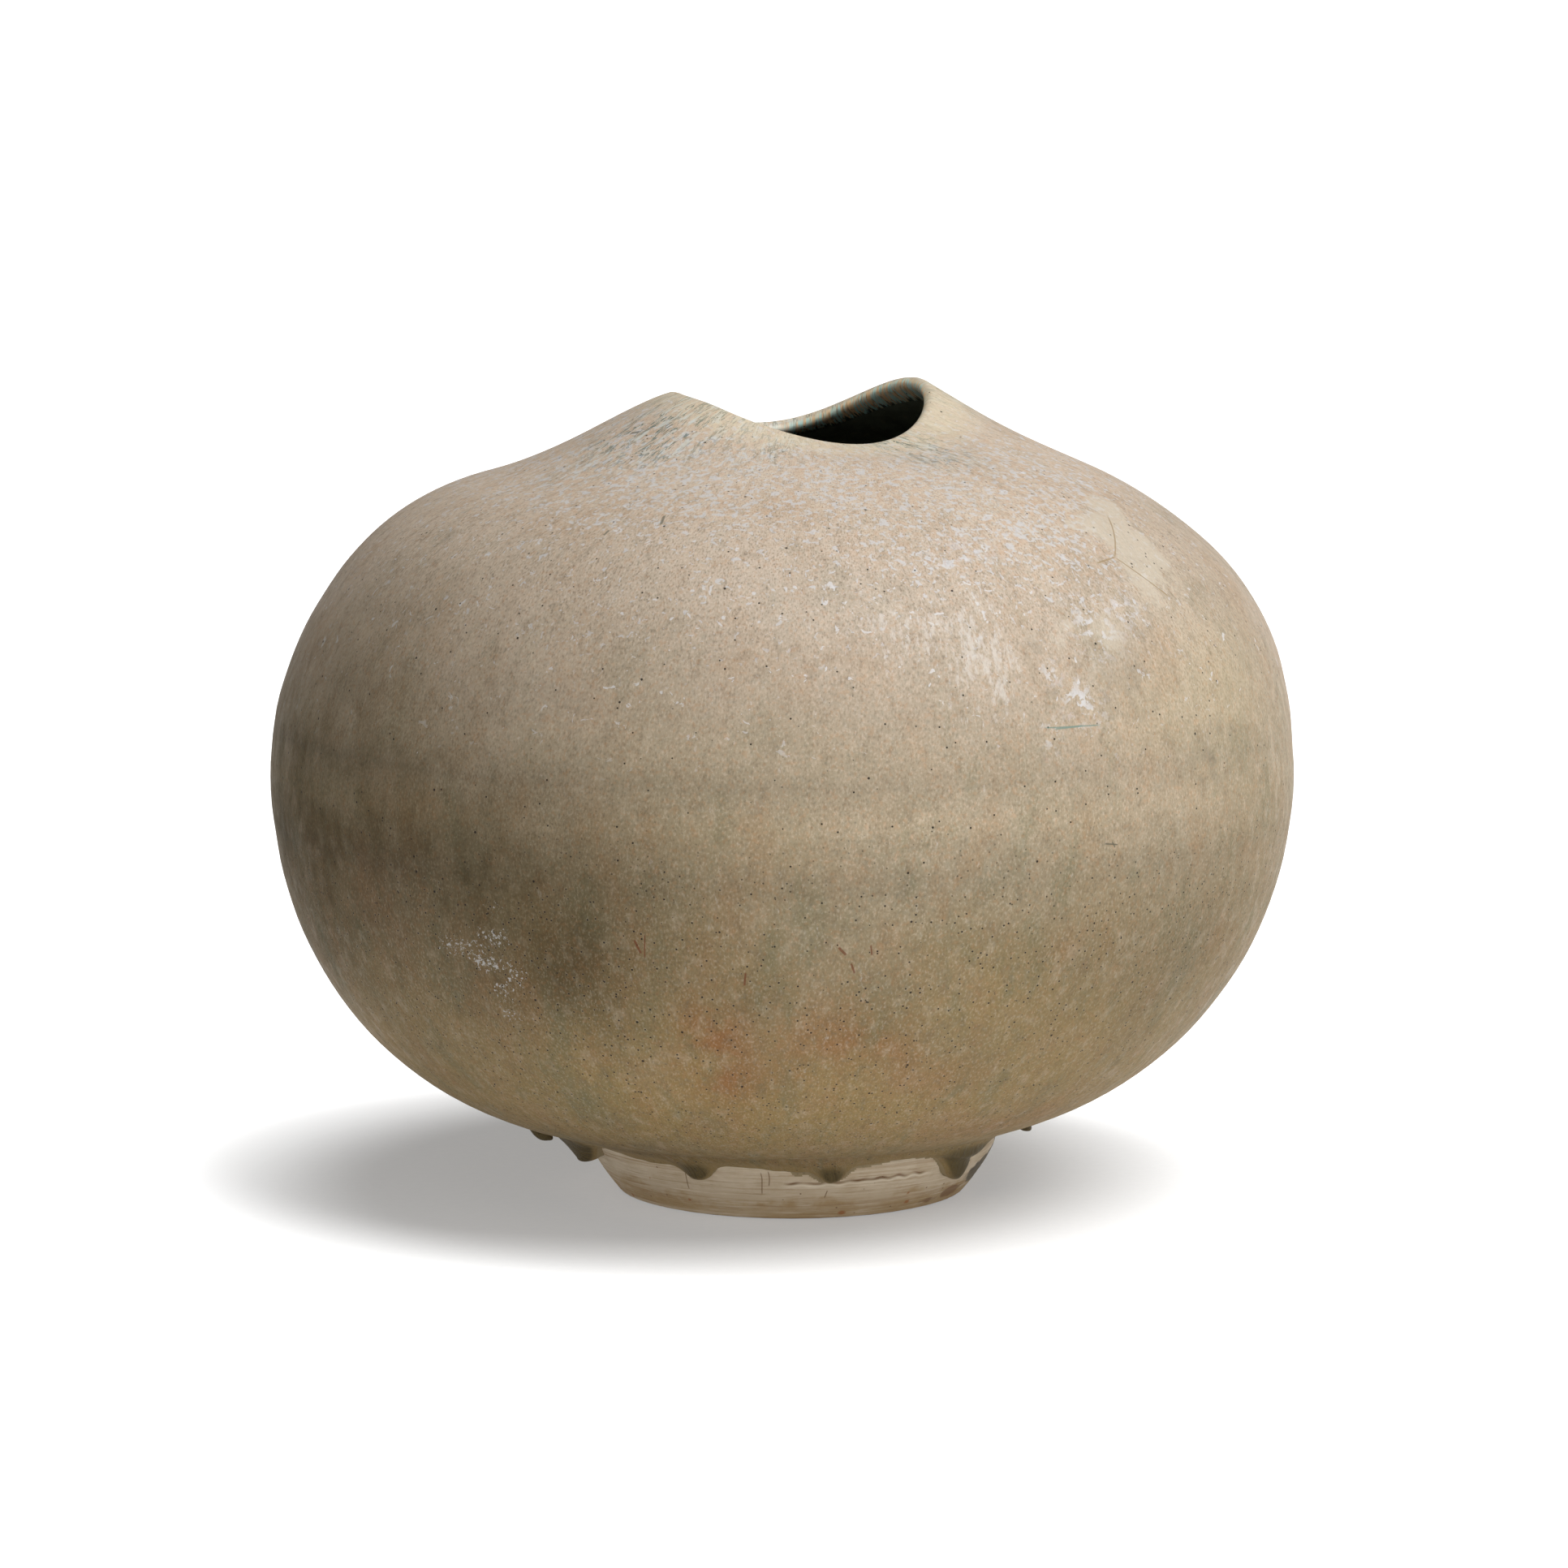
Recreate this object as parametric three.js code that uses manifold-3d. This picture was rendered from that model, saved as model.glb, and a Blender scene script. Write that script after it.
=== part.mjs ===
// A globular stoneware pot, in millimetres, +Z up, standing on z = 0 with the belly centred on the Z axis.
// It is put together as a potter does it: a thrown lower bowl and a thrown upper dome keyed together at the
// belly, a foot ring keyed under the bowl, pale slip brushed over the foot, a glaze outside that goes over the
// lip, a dark glaze lining inside, and thick runs of glaze that hang from the glaze's lower edge.
// Azimuths are measured from +X towards +Y, and the pot's front faces -Y.
import {
  BufferGeometry,
  CubicBezierCurve,
  Float32BufferAttribute,
  Group,
  LatheGeometry,
  MathUtils,
  Mesh,
  MeshStandardMaterial,
  QuadraticBezierCurve,
  Vector2,
} from "three";
import { mergeVertices } from "three/addons/utils/BufferGeometryUtils.js";
import Module from "manifold-3d";

const degrees = MathUtils.degToRad;

// Outside of the body, to the face of the glaze.
const bellyRadius = 175;
const bellyHeight = 144.7;
const shoulderRadius = 106;
const shoulderHeight = 246.5;
const mouthRadius = 44; // to the middle of the lip
const lipHeight = 266.2; // mean height of the middle of the lip
const footTopRadius = 73; // to the face of the slip
const glazeLineStep = 0.4; // the underside starts this far outside the top of the foot
const glazeLineRadius = footTopRadius + glazeLineStep;
const glazeLineHeight = 23.6;

// How far each curve of the side runs straight on from its ends before it bends.
const undersidePull = 66.2;
const bellyPullDown = 56.3;
const bellyPullUp = 53.9;
const shoulderPullOut = 41.4;
const shoulderPullIn = 30.2;
const lipPull = 26.6;

// Slopes of the side, from level.
const undersideSlope = degrees(7.6);
const shoulderSlope = degrees(18.4);
const lipSlope = degrees(19.2);

// The unevenness of the hand-thrown form, round the pot.
const swayBellyPullDown = 5; // added on the +X side, taken off on the -X side, as for each sway
const swayShoulderPullOut = 8.6;
const swayShoulderRadius = -5.3;
const swayShoulderHeight = 1.9;
const swayShoulderSlope = degrees(2.9);
const lipWaveHeight = 8.2; // the lip rises twice and dips twice
const lipPeakAzimuth = degrees(22.5);
const lipTiltHeight = 0.8;
const lipTiltAzimuth = degrees(121);
const lipRippleHeight = 1.2; // a smaller wave, three times round
const lipRippleAzimuth = degrees(36);
const lipSlopeWave = degrees(12); // the lip leans in more steeply at its peaks
const shoulderSlopeWave = degrees(1.5);
const footLean = 3.3; // the middle of the foot stands off the Z axis by this, as for each lean
const undersideLean = -3.2;
const upperSideLean = 2.4;
const mouthLean = 6.6;
const leanByHeight = [
  { height: 0.64 * glazeLineHeight, lean: footLean },
  { height: 1.36 * glazeLineHeight, lean: undersideLean },
  { height: bellyHeight, lean: 0 },
  { height: 0.913 * shoulderHeight, lean: upperSideLean },
  { height: 0.984 * lipHeight, lean: mouthLean },
];

// Walls, coats and the clearance where one piece seats on another.
const bellyWall = 9;
const lipWall = 3;
const floorThickness = 10.5;
const glazeCoat = 0.9;
const slipCoat = 0.6;
const seatGap = 0.3;

// Foot ring, and the keys that locate the thrown pieces on each other.
const footBaseRadius = 59.4; // to the face of the slip, at the table
const footBulge = 3.4; // how far the foot's side stands out from a straight flare
const footRingHeight = 16;
const footBoreRadius = 48;
const footBaseWidth = 9.5;
const footBevel = 1.2;
const keyWidth = 5;
const keyHeight = 2;
const slipBottomHeight = 1.4;
const slipTopHeight = 18.4;
const glazeEdgeRoll = 1.2; // radius of the thick rolled edge of the outer glaze

// Thick runs of glaze below the edge. hang is how far a run's lowest point is below the glaze line, bead how
// far the middle of its bead stands out from the glaze line (less than 0 for further in), and root the same
// at its top.
const glazeRuns = [
  { azimuth: 198.5, hang: 3.6, bead: 14, root: 14, width: 7.4, depth: 5.6 },
  { azimuth: 201, hang: 9.4, bead: 3.3, root: 5, width: 10.5, depth: 6.5 },
  { azimuth: 244.6, hang: 8.6, bead: -1.7, root: 3.1, width: 9.5, depth: 7 },
  { azimuth: 280.8, hang: 8.1, bead: -2.4, root: 2.6, width: 11, depth: 6.5 },
  { azimuth: 319.5, hang: 11.6, bead: -3.4, root: 8.6, width: 10, depth: 8 },
  { azimuth: 345.5, hang: 17.6, bead: -5.2, root: 0.6, width: 18, depth: 5.4 },
  { azimuth: 349.4, hang: 2.6, bead: 10.6, root: 10.6, width: 5.4, depth: 5.4 },
  { azimuth: 22, hang: 9.1, bead: -0.9, root: 3.6, width: 9, depth: 7 },
  { azimuth: 71, hang: 12.1, bead: -3.4, root: 4.6, width: 10, depth: 7 },
  { azimuth: 118, hang: 7.2, bead: -0.4, root: 2.6, width: 12, depth: 6.5 },
  { azimuth: 163, hang: 10.1, bead: -1.9, root: 3.6, width: 9, depth: 7 },
];
const runRootFlare = 1.5; // a run's width at its root, over the width of its bead

// Fineness of the faceted surfaces.
const segmentsRound = 40;
const undersideSteps = 7;
const shoulderSteps = 6;
const neckSteps = 5;
const lipSteps = 3;
const footSteps = 4;
const insideStride = 2; // the inside wall keeps one step in two
const runSegments = 12;
const runSteps = 4;

const wasm = await Module();
wasm.setup();

// How far the pot's middle stands off the Z axis at a height.
function leanAt(height) {
  let lean = leanByHeight[0].lean;
  for (let i = 1; i < leanByHeight.length; i++) {
    const below = leanByHeight[i - 1];
    const above = leanByHeight[i];
    const share = MathUtils.smoothstep(height, below.height, above.height);
    lean += (above.lean - below.lean) * share;
  }
  return lean;
}

function lipHeightAt(azimuth) {
  const wave = lipWaveHeight * Math.cos(2 * (azimuth - lipPeakAzimuth));
  const tilt = lipTiltHeight * Math.cos(azimuth - lipTiltAzimuth);
  const ripple = lipRippleHeight * Math.cos(3 * (azimuth - lipRippleAzimuth));
  return lipHeight + wave + tilt + ripple;
}

function lipSlopeAt(azimuth) {
  return lipSlope + lipSlopeWave * Math.cos(2 * (azimuth - lipPeakAzimuth));
}

// A step out and down along a slope, in the plane of radius and height.
function downSlope(slope, distance) {
  return new Vector2(Math.cos(slope), -Math.sin(slope)).multiplyScalar(distance);
}

// Thickness from the face of the outer glaze to the face of the lining, for a clay wall.
function fullThickness(clayWall) {
  return clayWall + 2 * (glazeCoat + seatGap);
}

const lipRound = fullThickness(lipWall) / 2;

// The side of the pot at an azimuth: the underside, the shoulder and the neck, from the glaze line to the lip.
function sideCurves(azimuth) {
  const sway = Math.cos(azimuth);
  const wave = Math.cos(2 * (azimuth - lipPeakAzimuth));
  const edge = new Vector2(glazeLineRadius, glazeLineHeight);
  const belly = new Vector2(bellyRadius, bellyHeight);
  const shoulder = new Vector2(
    shoulderRadius + swayShoulderRadius * sway,
    shoulderHeight + swayShoulderHeight * sway,
  );
  const slope = shoulderSlope + swayShoulderSlope * sway + shoulderSlopeWave * wave;
  const tilt = lipSlopeAt(azimuth);
  const lip = new Vector2(
    mouthRadius + lipRound * Math.sin(tilt),
    lipHeightAt(azimuth) + lipRound * Math.cos(tilt),
  );
  const outFromEdge = downSlope(-undersideSlope, undersidePull);
  const outFromShoulder = downSlope(slope, shoulderPullOut + swayShoulderPullOut * sway);
  return [
    new CubicBezierCurve(
      edge,
      edge.clone().add(outFromEdge),
      new Vector2(bellyRadius, bellyHeight - bellyPullDown - swayBellyPullDown * sway),
      belly,
    ),
    new CubicBezierCurve(
      belly,
      new Vector2(bellyRadius, bellyHeight + bellyPullUp),
      shoulder.clone().add(outFromShoulder),
      shoulder,
    ),
    new CubicBezierCurve(
      shoulder,
      shoulder.clone().sub(downSlope(slope, shoulderPullIn)),
      lip.clone().add(downSlope(tilt, lipPull)),
      lip,
    ),
  ];
}

// The clay wall keeps its thickness up to the belly and thins evenly from there to the lip.
function clayWallAt(place) {
  const pastBelly = MathUtils.clamp((place - 1) / 2, 0, 1);
  return MathUtils.lerp(bellyWall, lipWall, pastBelly);
}

// A point on the side, place running from 0 at the glaze line through 1 at the belly and 2 at the shoulder
// to 3 at the lip. Depth is measured square to the face of the outer glaze.
function outsidePoint(curves, place, depth) {
  const index = Math.min(Math.floor(place), 2);
  const along = place - index;
  const point = curves[index].getPoint(along);
  const tangent = curves[index].getTangent(along);
  return point.add(new Vector2(-tangent.y, tangent.x).multiplyScalar(depth));
}

// The same, with depth measured outwards from the face of the lining.
function insidePoint(curves, place, depth) {
  return outsidePoint(curves, place, fullThickness(clayWallAt(place)) - depth);
}

function evenPlaces(from, to, steps) {
  return Array.from({ length: steps + 1 }, (_, i) => from + ((to - from) * i) / steps);
}

const undersidePlaces = evenPlaces(0, 1, undersideSteps);
const upperPlaces = [...evenPlaces(1, 2, shoulderSteps), ...evenPlaces(2, 3, neckSteps).slice(1)];

// The places that the inside wall keeps, always with both ends.
function thinned(places) {
  return places.filter((_, i) => i % insideStride === 0 || i === places.length - 1);
}

// The rounded lip of a layer at a depth, over the crest from outside to inside, without its two ends.
function lipPoints(azimuth, depth) {
  const tilt = lipSlopeAt(azimuth);
  const inner = evenPlaces(0, 1, lipSteps).slice(1, -1);
  return inner.map((share) => {
    const turn = tilt - Math.PI * share;
    const radius = lipRound - depth;
    return new Vector2(
      mouthRadius + radius * Math.sin(turn),
      lipHeightAt(azimuth) + radius * Math.cos(turn),
    );
  });
}

// The side of the foot, from the table to the glaze line. Its height grows evenly along the curve.
const footCurve = new QuadraticBezierCurve(
  new Vector2(footBaseRadius, 0),
  new Vector2((footBaseRadius + footTopRadius) / 2 + footBulge, glazeLineHeight / 2),
  new Vector2(footTopRadius, glazeLineHeight),
);

// The radius of the foot's side at a height, for a layer at a depth from the face of the slip.
function footRadiusAt(height, depth) {
  const share = height / glazeLineHeight;
  const tangent = footCurve.getTangent(share);
  return footCurve.getPoint(share).x - depth / tangent.y;
}

function footPoints(fromHeight, toHeight, depth) {
  return evenPlaces(fromHeight, toHeight, footSteps).map(
    (height) => new Vector2(footRadiusAt(height, depth), height),
  );
}

// A pointed key across the middle of a joint, or with clearance the groove that it sits in.
// It rises for lift = 1 and hangs for lift = -1, and its corners run from inside to outside.
function keyPoints(middleRadius, height, lift, clearance) {
  const slope = Math.atan2(keyHeight, keyWidth / 2);
  const deeper = clearance / Math.cos(slope) - clearance;
  const halfWidth = keyWidth / 2 + deeper / Math.tan(slope);
  return [
    new Vector2(middleRadius - halfWidth, height),
    new Vector2(middleRadius, height + lift * (keyHeight + deeper)),
    new Vector2(middleRadius + halfWidth, height),
  ];
}

// Lofts a section round the pot. Corners run up the outside and down the inside, and a section whose first
// and last corners lie on the axis closes there in one point each. Each facet pair takes the shorter diagonal.
function loftRound(sectionAt) {
  const sections = evenPlaces(0, 2 * Math.PI, segmentsRound).slice(0, -1).map((azimuth) => ({
    azimuth,
    corners: sectionAt(azimuth),
  }));
  const count = sections[0].corners.length;
  const onAxis = (j) => Math.abs(sections[0].corners[j].x) < 1e-9;
  const positions = [];
  const vertexAt = sections.map(() => []);
  sections.forEach(({ azimuth, corners }, i) => {
    corners.forEach((corner, j) => {
      if (onAxis(j) && i > 0) {
        vertexAt[i][j] = vertexAt[0][j];
        return;
      }
      vertexAt[i][j] = positions.length / 3;
      const x = leanAt(corner.y) + corner.x * Math.cos(azimuth);
      const y = corner.x * Math.sin(azimuth);
      positions.push(x, y, corner.y);
    });
  });
  const distance = (a, b) => Math.hypot(
    positions[3 * a] - positions[3 * b],
    positions[3 * a + 1] - positions[3 * b + 1],
    positions[3 * a + 2] - positions[3 * b + 2],
  );
  const triangles = [];
  const addTriangle = (a, b, c) => {
    if (a !== b && b !== c && c !== a) {
      triangles.push(a, b, c);
    }
  };
  const bands = onAxis(0) ? count - 1 : count;
  for (let i = 0; i < segmentsRound; i++) {
    const here = vertexAt[i];
    const next = vertexAt[(i + 1) % segmentsRound];
    for (let j = 0; j < bands; j++) {
      const up = (j + 1) % count;
      if (distance(here[j], next[up]) <= distance(next[j], here[up])) {
        addTriangle(here[j], next[j], next[up]);
        addTriangle(here[j], next[up], here[up]);
      } else {
        addTriangle(here[j], next[j], here[up]);
        addTriangle(next[j], next[up], here[up]);
      }
    }
  }
  const geometry = new BufferGeometry();
  geometry.setAttribute("position", new Float32BufferAttribute(positions, 3));
  geometry.setIndex(triangles);
  return geometry;
}

const clayDepth = glazeCoat + seatGap; // of the clay under either glaze
const footClayDepth = slipCoat + seatGap; // of the clay under the slip

// The outer and inner corners of the clay at the seam, a little above or below the belly.
function seamCorners(curves, shift) {
  const up = new Vector2(0, shift);
  return [outsidePoint(curves, 1, clayDepth).add(up), insidePoint(curves, 1, clayDepth).add(up)];
}

const seamKeyRadius = bellyRadius - fullThickness(bellyWall) / 2;

function upperDome() {
  return loftRound((azimuth) => {
    const curves = sideCurves(azimuth);
    const outside = upperPlaces.slice(1).map((place) => outsidePoint(curves, place, clayDepth));
    const inside = thinned(upperPlaces).slice(1).reverse();
    const [outerCorner, innerCorner] = seamCorners(curves, seatGap / 2);
    return [
      outerCorner,
      ...outside,
      ...lipPoints(azimuth, clayDepth),
      ...inside.map((place) => insidePoint(curves, place, clayDepth)),
      innerCorner,
      ...keyPoints(seamKeyRadius, bellyHeight + seatGap / 2, -1, 0),
    ];
  });
}

// The floor inside dips from the foot of the wall to the axis, level in the middle.
function floorCurve(curves, depth) {
  const start = insidePoint(curves, 0, depth);
  const fall = (start.x / 2) * Math.tan(undersideSlope);
  return new QuadraticBezierCurve(
    start,
    new Vector2(start.x / 2, start.y - fall),
    new Vector2(0, start.y - fall),
  );
}

const floorShares = [0, 0.5, 1];
const recessHeight = floorCurve(sideCurves(0), clayDepth).v2.y - floorThickness;
const footKeyRadius = (footBoreRadius + footRadiusAt(footRingHeight, footClayDepth)) / 2;

// The clay between the top of the slip and the underside, where the glaze edge seats.
function stubCorners(curves) {
  const bottom = new Vector2(footRadiusAt(slipTopHeight, footClayDepth), slipTopHeight);
  return [bottom, outsidePoint(curves, 0, clayDepth)];
}

function lowerBowl() {
  return loftRound((azimuth) => {
    const curves = sideCurves(azimuth);
    const outside = undersidePlaces.slice(1, -1).map((place) => outsidePoint(curves, place, clayDepth));
    const inside = thinned(undersidePlaces).slice(1, -1).reverse();
    const floor = floorCurve(curves, clayDepth);
    const jointHeight = footRingHeight + seatGap / 2;
    const [outerCorner, innerCorner] = seamCorners(curves, -seatGap / 2);
    return [
      new Vector2(0, recessHeight),
      new Vector2(footBoreRadius - footBevel, recessHeight),
      new Vector2(footBoreRadius, jointHeight),
      ...keyPoints(footKeyRadius, jointHeight, 1, seatGap),
      new Vector2(footRadiusAt(jointHeight, footClayDepth), jointHeight),
      ...stubCorners(curves),
      ...outside,
      outerCorner,
      ...keyPoints(seamKeyRadius, bellyHeight - seatGap / 2, -1, seatGap).reverse(),
      innerCorner,
      ...inside.map((place) => insidePoint(curves, place, clayDepth)),
      ...floorShares.map((share) => floor.getPoint(share)),
    ];
  });
}

function footRing() {
  return loftRound(() => {
    const jointHeight = footRingHeight - seatGap / 2;
    const side = footPoints(footBevel, jointHeight, footClayDepth);
    const baseOuter = side[0].x - footBevel;
    const baseInner = baseOuter - footBaseWidth;
    return [
      new Vector2(baseOuter, 0),
      ...side,
      ...keyPoints(footKeyRadius, jointHeight, 1, 0).reverse(),
      new Vector2(footBoreRadius, jointHeight),
      new Vector2(baseInner - footBevel / 2, footBevel),
      new Vector2(baseInner, 0),
    ];
  });
}

function footSlip() {
  return loftRound(() => [
    ...footPoints(slipBottomHeight, slipTopHeight, 0),
    ...footPoints(slipBottomHeight, slipTopHeight, slipCoat).reverse(),
  ]);
}

// The rolled lower edge of the outer glaze, grown for the space that a run must keep clear of.
const glazeEdgePlace = 0.04;

function glazeEdge(curves, grow) {
  const [stubBottom, stubTop] = stubCorners(curves);
  const height = slipTopHeight + seatGap + glazeEdgeRoll;
  const share = (height - stubBottom.y) / (stubTop.y - stubBottom.y);
  const seat = MathUtils.lerp(stubBottom.x, stubTop.x, share) + seatGap;
  const roll = glazeEdgeRoll + grow;
  const middle = new Vector2(seat + glazeEdgeRoll, height);
  const face = outsidePoint(curves, glazeEdgePlace, -grow);
  const outer = middle.clone().add(new Vector2(roll, 0));
  const fillet = new QuadraticBezierCurve(outer, new Vector2(outer.x, face.y), face);
  const corner = stubTop.clone().add(new Vector2(seatGap, -seatGap));
  return { seat, middle, roll, fillet, face, corner };
}

function outerGlaze() {
  return loftRound((azimuth) => {
    const curves = sideCurves(azimuth);
    const { seat, middle, roll, fillet, face, corner } = glazeEdge(curves, 0);
    const places = [...undersidePlaces.slice(1), ...upperPlaces.slice(1)];
    return [
      new Vector2(seat, middle.y),
      new Vector2(middle.x, middle.y - roll),
      fillet.getPoint(0),
      fillet.getPoint(0.5),
      face,
      ...places.map((place) => outsidePoint(curves, place, 0)),
      ...lipPoints(azimuth, 0),
      insidePoint(curves, 3, 0),
      insidePoint(curves, 3, glazeCoat),
      ...lipPoints(azimuth, glazeCoat).reverse(),
      ...places.reverse().map((place) => outsidePoint(curves, place, glazeCoat)),
      corner,
    ];
  });
}

function innerGlaze() {
  return loftRound((azimuth) => {
    const curves = sideCurves(azimuth);
    const top = 3 - seatGap / (3 * lipPull);
    const places = [...thinned(undersidePlaces).slice(1, -1), ...thinned(upperPlaces).slice(0, -1), top];
    const back = floorCurve(curves, glazeCoat);
    const face = floorCurve(curves, 0);
    return [
      ...floorShares.map((share) => back.getPoint(1 - share)),
      ...places.map((place) => insidePoint(curves, place, glazeCoat)),
      ...places.reverse().map((place) => insidePoint(curves, place, 0)),
      ...floorShares.map((share) => face.getPoint(share)),
    ];
  });
}

function toSolid(geometry) {
  const bare = geometry.clone();
  bare.deleteAttribute("normal");
  bare.deleteAttribute("uv");
  const merged = mergeVertices(bare, 1e-4);
  const corners = merged.index.array;
  const kept = [];
  for (let i = 0; i < corners.length; i += 3) {
    const [a, b, c] = corners.slice(i, i + 3);
    if (a !== b && b !== c && c !== a) {
      kept.push(a, b, c);
    }
  }
  return new wasm.Manifold(new wasm.Mesh({
    numProp: 3,
    vertProperties: merged.attributes.position.array,
    triVerts: Uint32Array.from(kept),
  }));
}

function toGeometry(solid) {
  const { vertProperties, triVerts } = solid.getMesh();
  const geometry = new BufferGeometry();
  geometry.setAttribute("position", new Float32BufferAttribute(vertProperties, 3));
  geometry.setIndex(Array.from(triVerts));
  return geometry;
}

// The space of the foot, its slip and the outer glaze, with the seat gap round them.
function spaceOfFootAndGlaze() {
  const below = -footRingHeight;
  return toSolid(loftRound((azimuth) => {
    const curves = sideCurves(azimuth);
    const { middle, roll, fillet, face } = glazeEdge(curves, seatGap);
    const side = footPoints(0, slipTopHeight, -seatGap);
    const places = undersidePlaces.slice(1);
    return [
      new Vector2(0, below),
      new Vector2(side[0].x, below),
      ...side,
      new Vector2(middle.x, middle.y - roll),
      fillet.getPoint(0),
      fillet.getPoint(0.5),
      face,
      ...places.map((place) => outsidePoint(curves, place, -seatGap)),
      new Vector2(0, bellyHeight),
    ];
  }));
}

// One run: a drop with a round bead below and a flared root, set along the line from its root to its bead
// and cut back to seat on the glaze edge and the foot.
function glazeRun({ azimuth, hang, bead, root, width, depth }, space) {
  const beadRadius = width / 2;
  const lowest = glazeLineHeight - hang;
  const fall = hang + glazeCoat;
  const slant = Math.atan2(root - bead, fall);
  const length = Math.max(fall / Math.cos(slant), beadRadius + seatGap);
  const rootRadius = beadRadius * runRootFlare;
  const roundBottom = evenPlaces(0, Math.PI / 2, runSteps).map(
    (turn) => new Vector2(beadRadius * Math.sin(turn), beadRadius * (1 - Math.cos(turn))),
  );
  const flare = new QuadraticBezierCurve(
    new Vector2(beadRadius, beadRadius),
    new Vector2(beadRadius, length),
    new Vector2(rootRadius, length),
  );
  const outline = [
    ...roundBottom,
    ...evenPlaces(0, 1, runSteps).slice(1).map((share) => flare.getPoint(share)),
    new Vector2(rootRadius, length + beadRadius),
    new Vector2(0, length + beadRadius),
  ];
  const drip = new LatheGeometry(outline, runSegments);
  drip.rotateX(Math.PI / 2);
  drip.scale(depth / width, 1, 1);
  drip.rotateY(slant);
  drip.translate(glazeLineRadius + bead, 0, lowest);
  drip.rotateZ(degrees(azimuth));
  drip.translate(leanAt(lowest), 0, 0);
  return toGeometry(toSolid(drip).subtract(space));
}

const bareClay = new MeshStandardMaterial({ color: 0x8c7a66, roughness: 0.95, metalness: 0 });
const paleSlip = new MeshStandardMaterial({ color: 0xb7a891, roughness: 0.85, metalness: 0 });
const mottledGlaze = new MeshStandardMaterial({ color: 0x9a8668, roughness: 0.5, metalness: 0 });
const darkGlaze = new MeshStandardMaterial({ color: 0x3c443d, roughness: 0.35, metalness: 0 });
const oliveGlaze = new MeshStandardMaterial({ color: 0x574d3a, roughness: 0.4, metalness: 0 });

function piece(name, geometry, material) {
  const mesh = new Mesh(geometry, material);
  mesh.name = name;
  return mesh;
}

const thrownClay = new Group();
thrownClay.add(piece("foot_ring", footRing(), bareClay));
thrownClay.add(piece("lower_bowl", lowerBowl(), bareClay));
thrownClay.add(piece("upper_dome", upperDome(), bareClay));

const coats = new Group();
coats.add(piece("foot_slip", footSlip(), paleSlip));
coats.add(piece("outer_glaze", outerGlaze(), mottledGlaze));
coats.add(piece("inner_glaze", innerGlaze(), darkGlaze));

const runs = new Group();
const takenSpace = spaceOfFootAndGlaze();
glazeRuns.forEach((run, i) => {
  const number = String(i + 1).padStart(2, "0");
  runs.add(piece(`glaze_run_${number}`, glazeRun(run, takenSpace), oliveGlaze));
});

const pot = new Group();
pot.add(thrownClay, coats, runs);

export default pot;
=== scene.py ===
import math

import bpy
import numpy as np
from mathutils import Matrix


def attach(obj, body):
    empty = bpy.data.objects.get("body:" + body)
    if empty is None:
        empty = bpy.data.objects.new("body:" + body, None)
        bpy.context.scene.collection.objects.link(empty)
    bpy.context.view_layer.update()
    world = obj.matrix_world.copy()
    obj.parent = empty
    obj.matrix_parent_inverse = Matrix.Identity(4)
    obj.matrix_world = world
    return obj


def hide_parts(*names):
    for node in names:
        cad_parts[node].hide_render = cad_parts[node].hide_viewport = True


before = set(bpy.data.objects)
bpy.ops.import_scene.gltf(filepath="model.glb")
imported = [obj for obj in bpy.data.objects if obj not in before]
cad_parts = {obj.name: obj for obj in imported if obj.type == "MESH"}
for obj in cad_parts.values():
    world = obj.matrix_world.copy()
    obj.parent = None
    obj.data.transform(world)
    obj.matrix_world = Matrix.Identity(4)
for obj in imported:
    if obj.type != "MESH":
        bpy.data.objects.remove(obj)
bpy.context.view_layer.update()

# A globular stoneware pot. The glaze, its runs, the lining and the slip on the foot are rebuilt finely over
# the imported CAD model. Lengths are in millimetres until a mesh is made, heights are measured from the table,
# and azimuths in degrees from +X towards +Y.
METRES_PER_MM = 0.001
FRONT = 270

# Outside of the body, to the face of the glaze: the same values as the CAD source has.
BELLY_RADIUS = 175
BELLY_HEIGHT = 144.7
SHOULDER_RADIUS = 106
SHOULDER_HEIGHT = 246.5
MOUTH_RADIUS = 44
LIP_HEIGHT = 266.2
LIP_ROUND = 2.7
FOOT_TOP_RADIUS = 73
FOOT_BASE_RADIUS = 59.4
FOOT_BULGE = 3.4
GLAZE_LINE_RADIUS = FOOT_TOP_RADIUS + 0.4
GLAZE_LINE_HEIGHT = 23.6
SLIP_BOTTOM_HEIGHT = 1.4
SLIP_TOP_HEIGHT = 18.4
BELLY_WALL = 9
LIP_WALL = 3
COATS_AND_SEATS = 2.4  # both glazes and their seats on the clay
FLOW_RADIUS = 130  # of the ring that the streaks in the glaze are laid out on

# The side is three curves: the underside, the shoulder and the neck. A pull is how far a curve's handle
# reaches, and a slope is the angle from level there, in degrees.
UNDERSIDE_PULL = 66.2
BELLY_PULL_DOWN = 56.3
BELLY_PULL_UP = 53.9
SHOULDER_PULL_OUT = 41.4
SHOULDER_PULL_IN = 30.2
LIP_PULL = 26.6
UNDERSIDE_SLOPE = 7.6
SHOULDER_SLOPE = 18.4
LIP_SLOPE = 19.2

# How much some of them grow towards +X, and shrink towards -X.
SWAY_BELLY_PULL_DOWN = 5
SWAY_SHOULDER_PULL_OUT = 8.6
SWAY_SHOULDER_RADIUS = -5.3
SWAY_SHOULDER_HEIGHT = 1.9
SWAY_SHOULDER_SLOPE = 2.9

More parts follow.
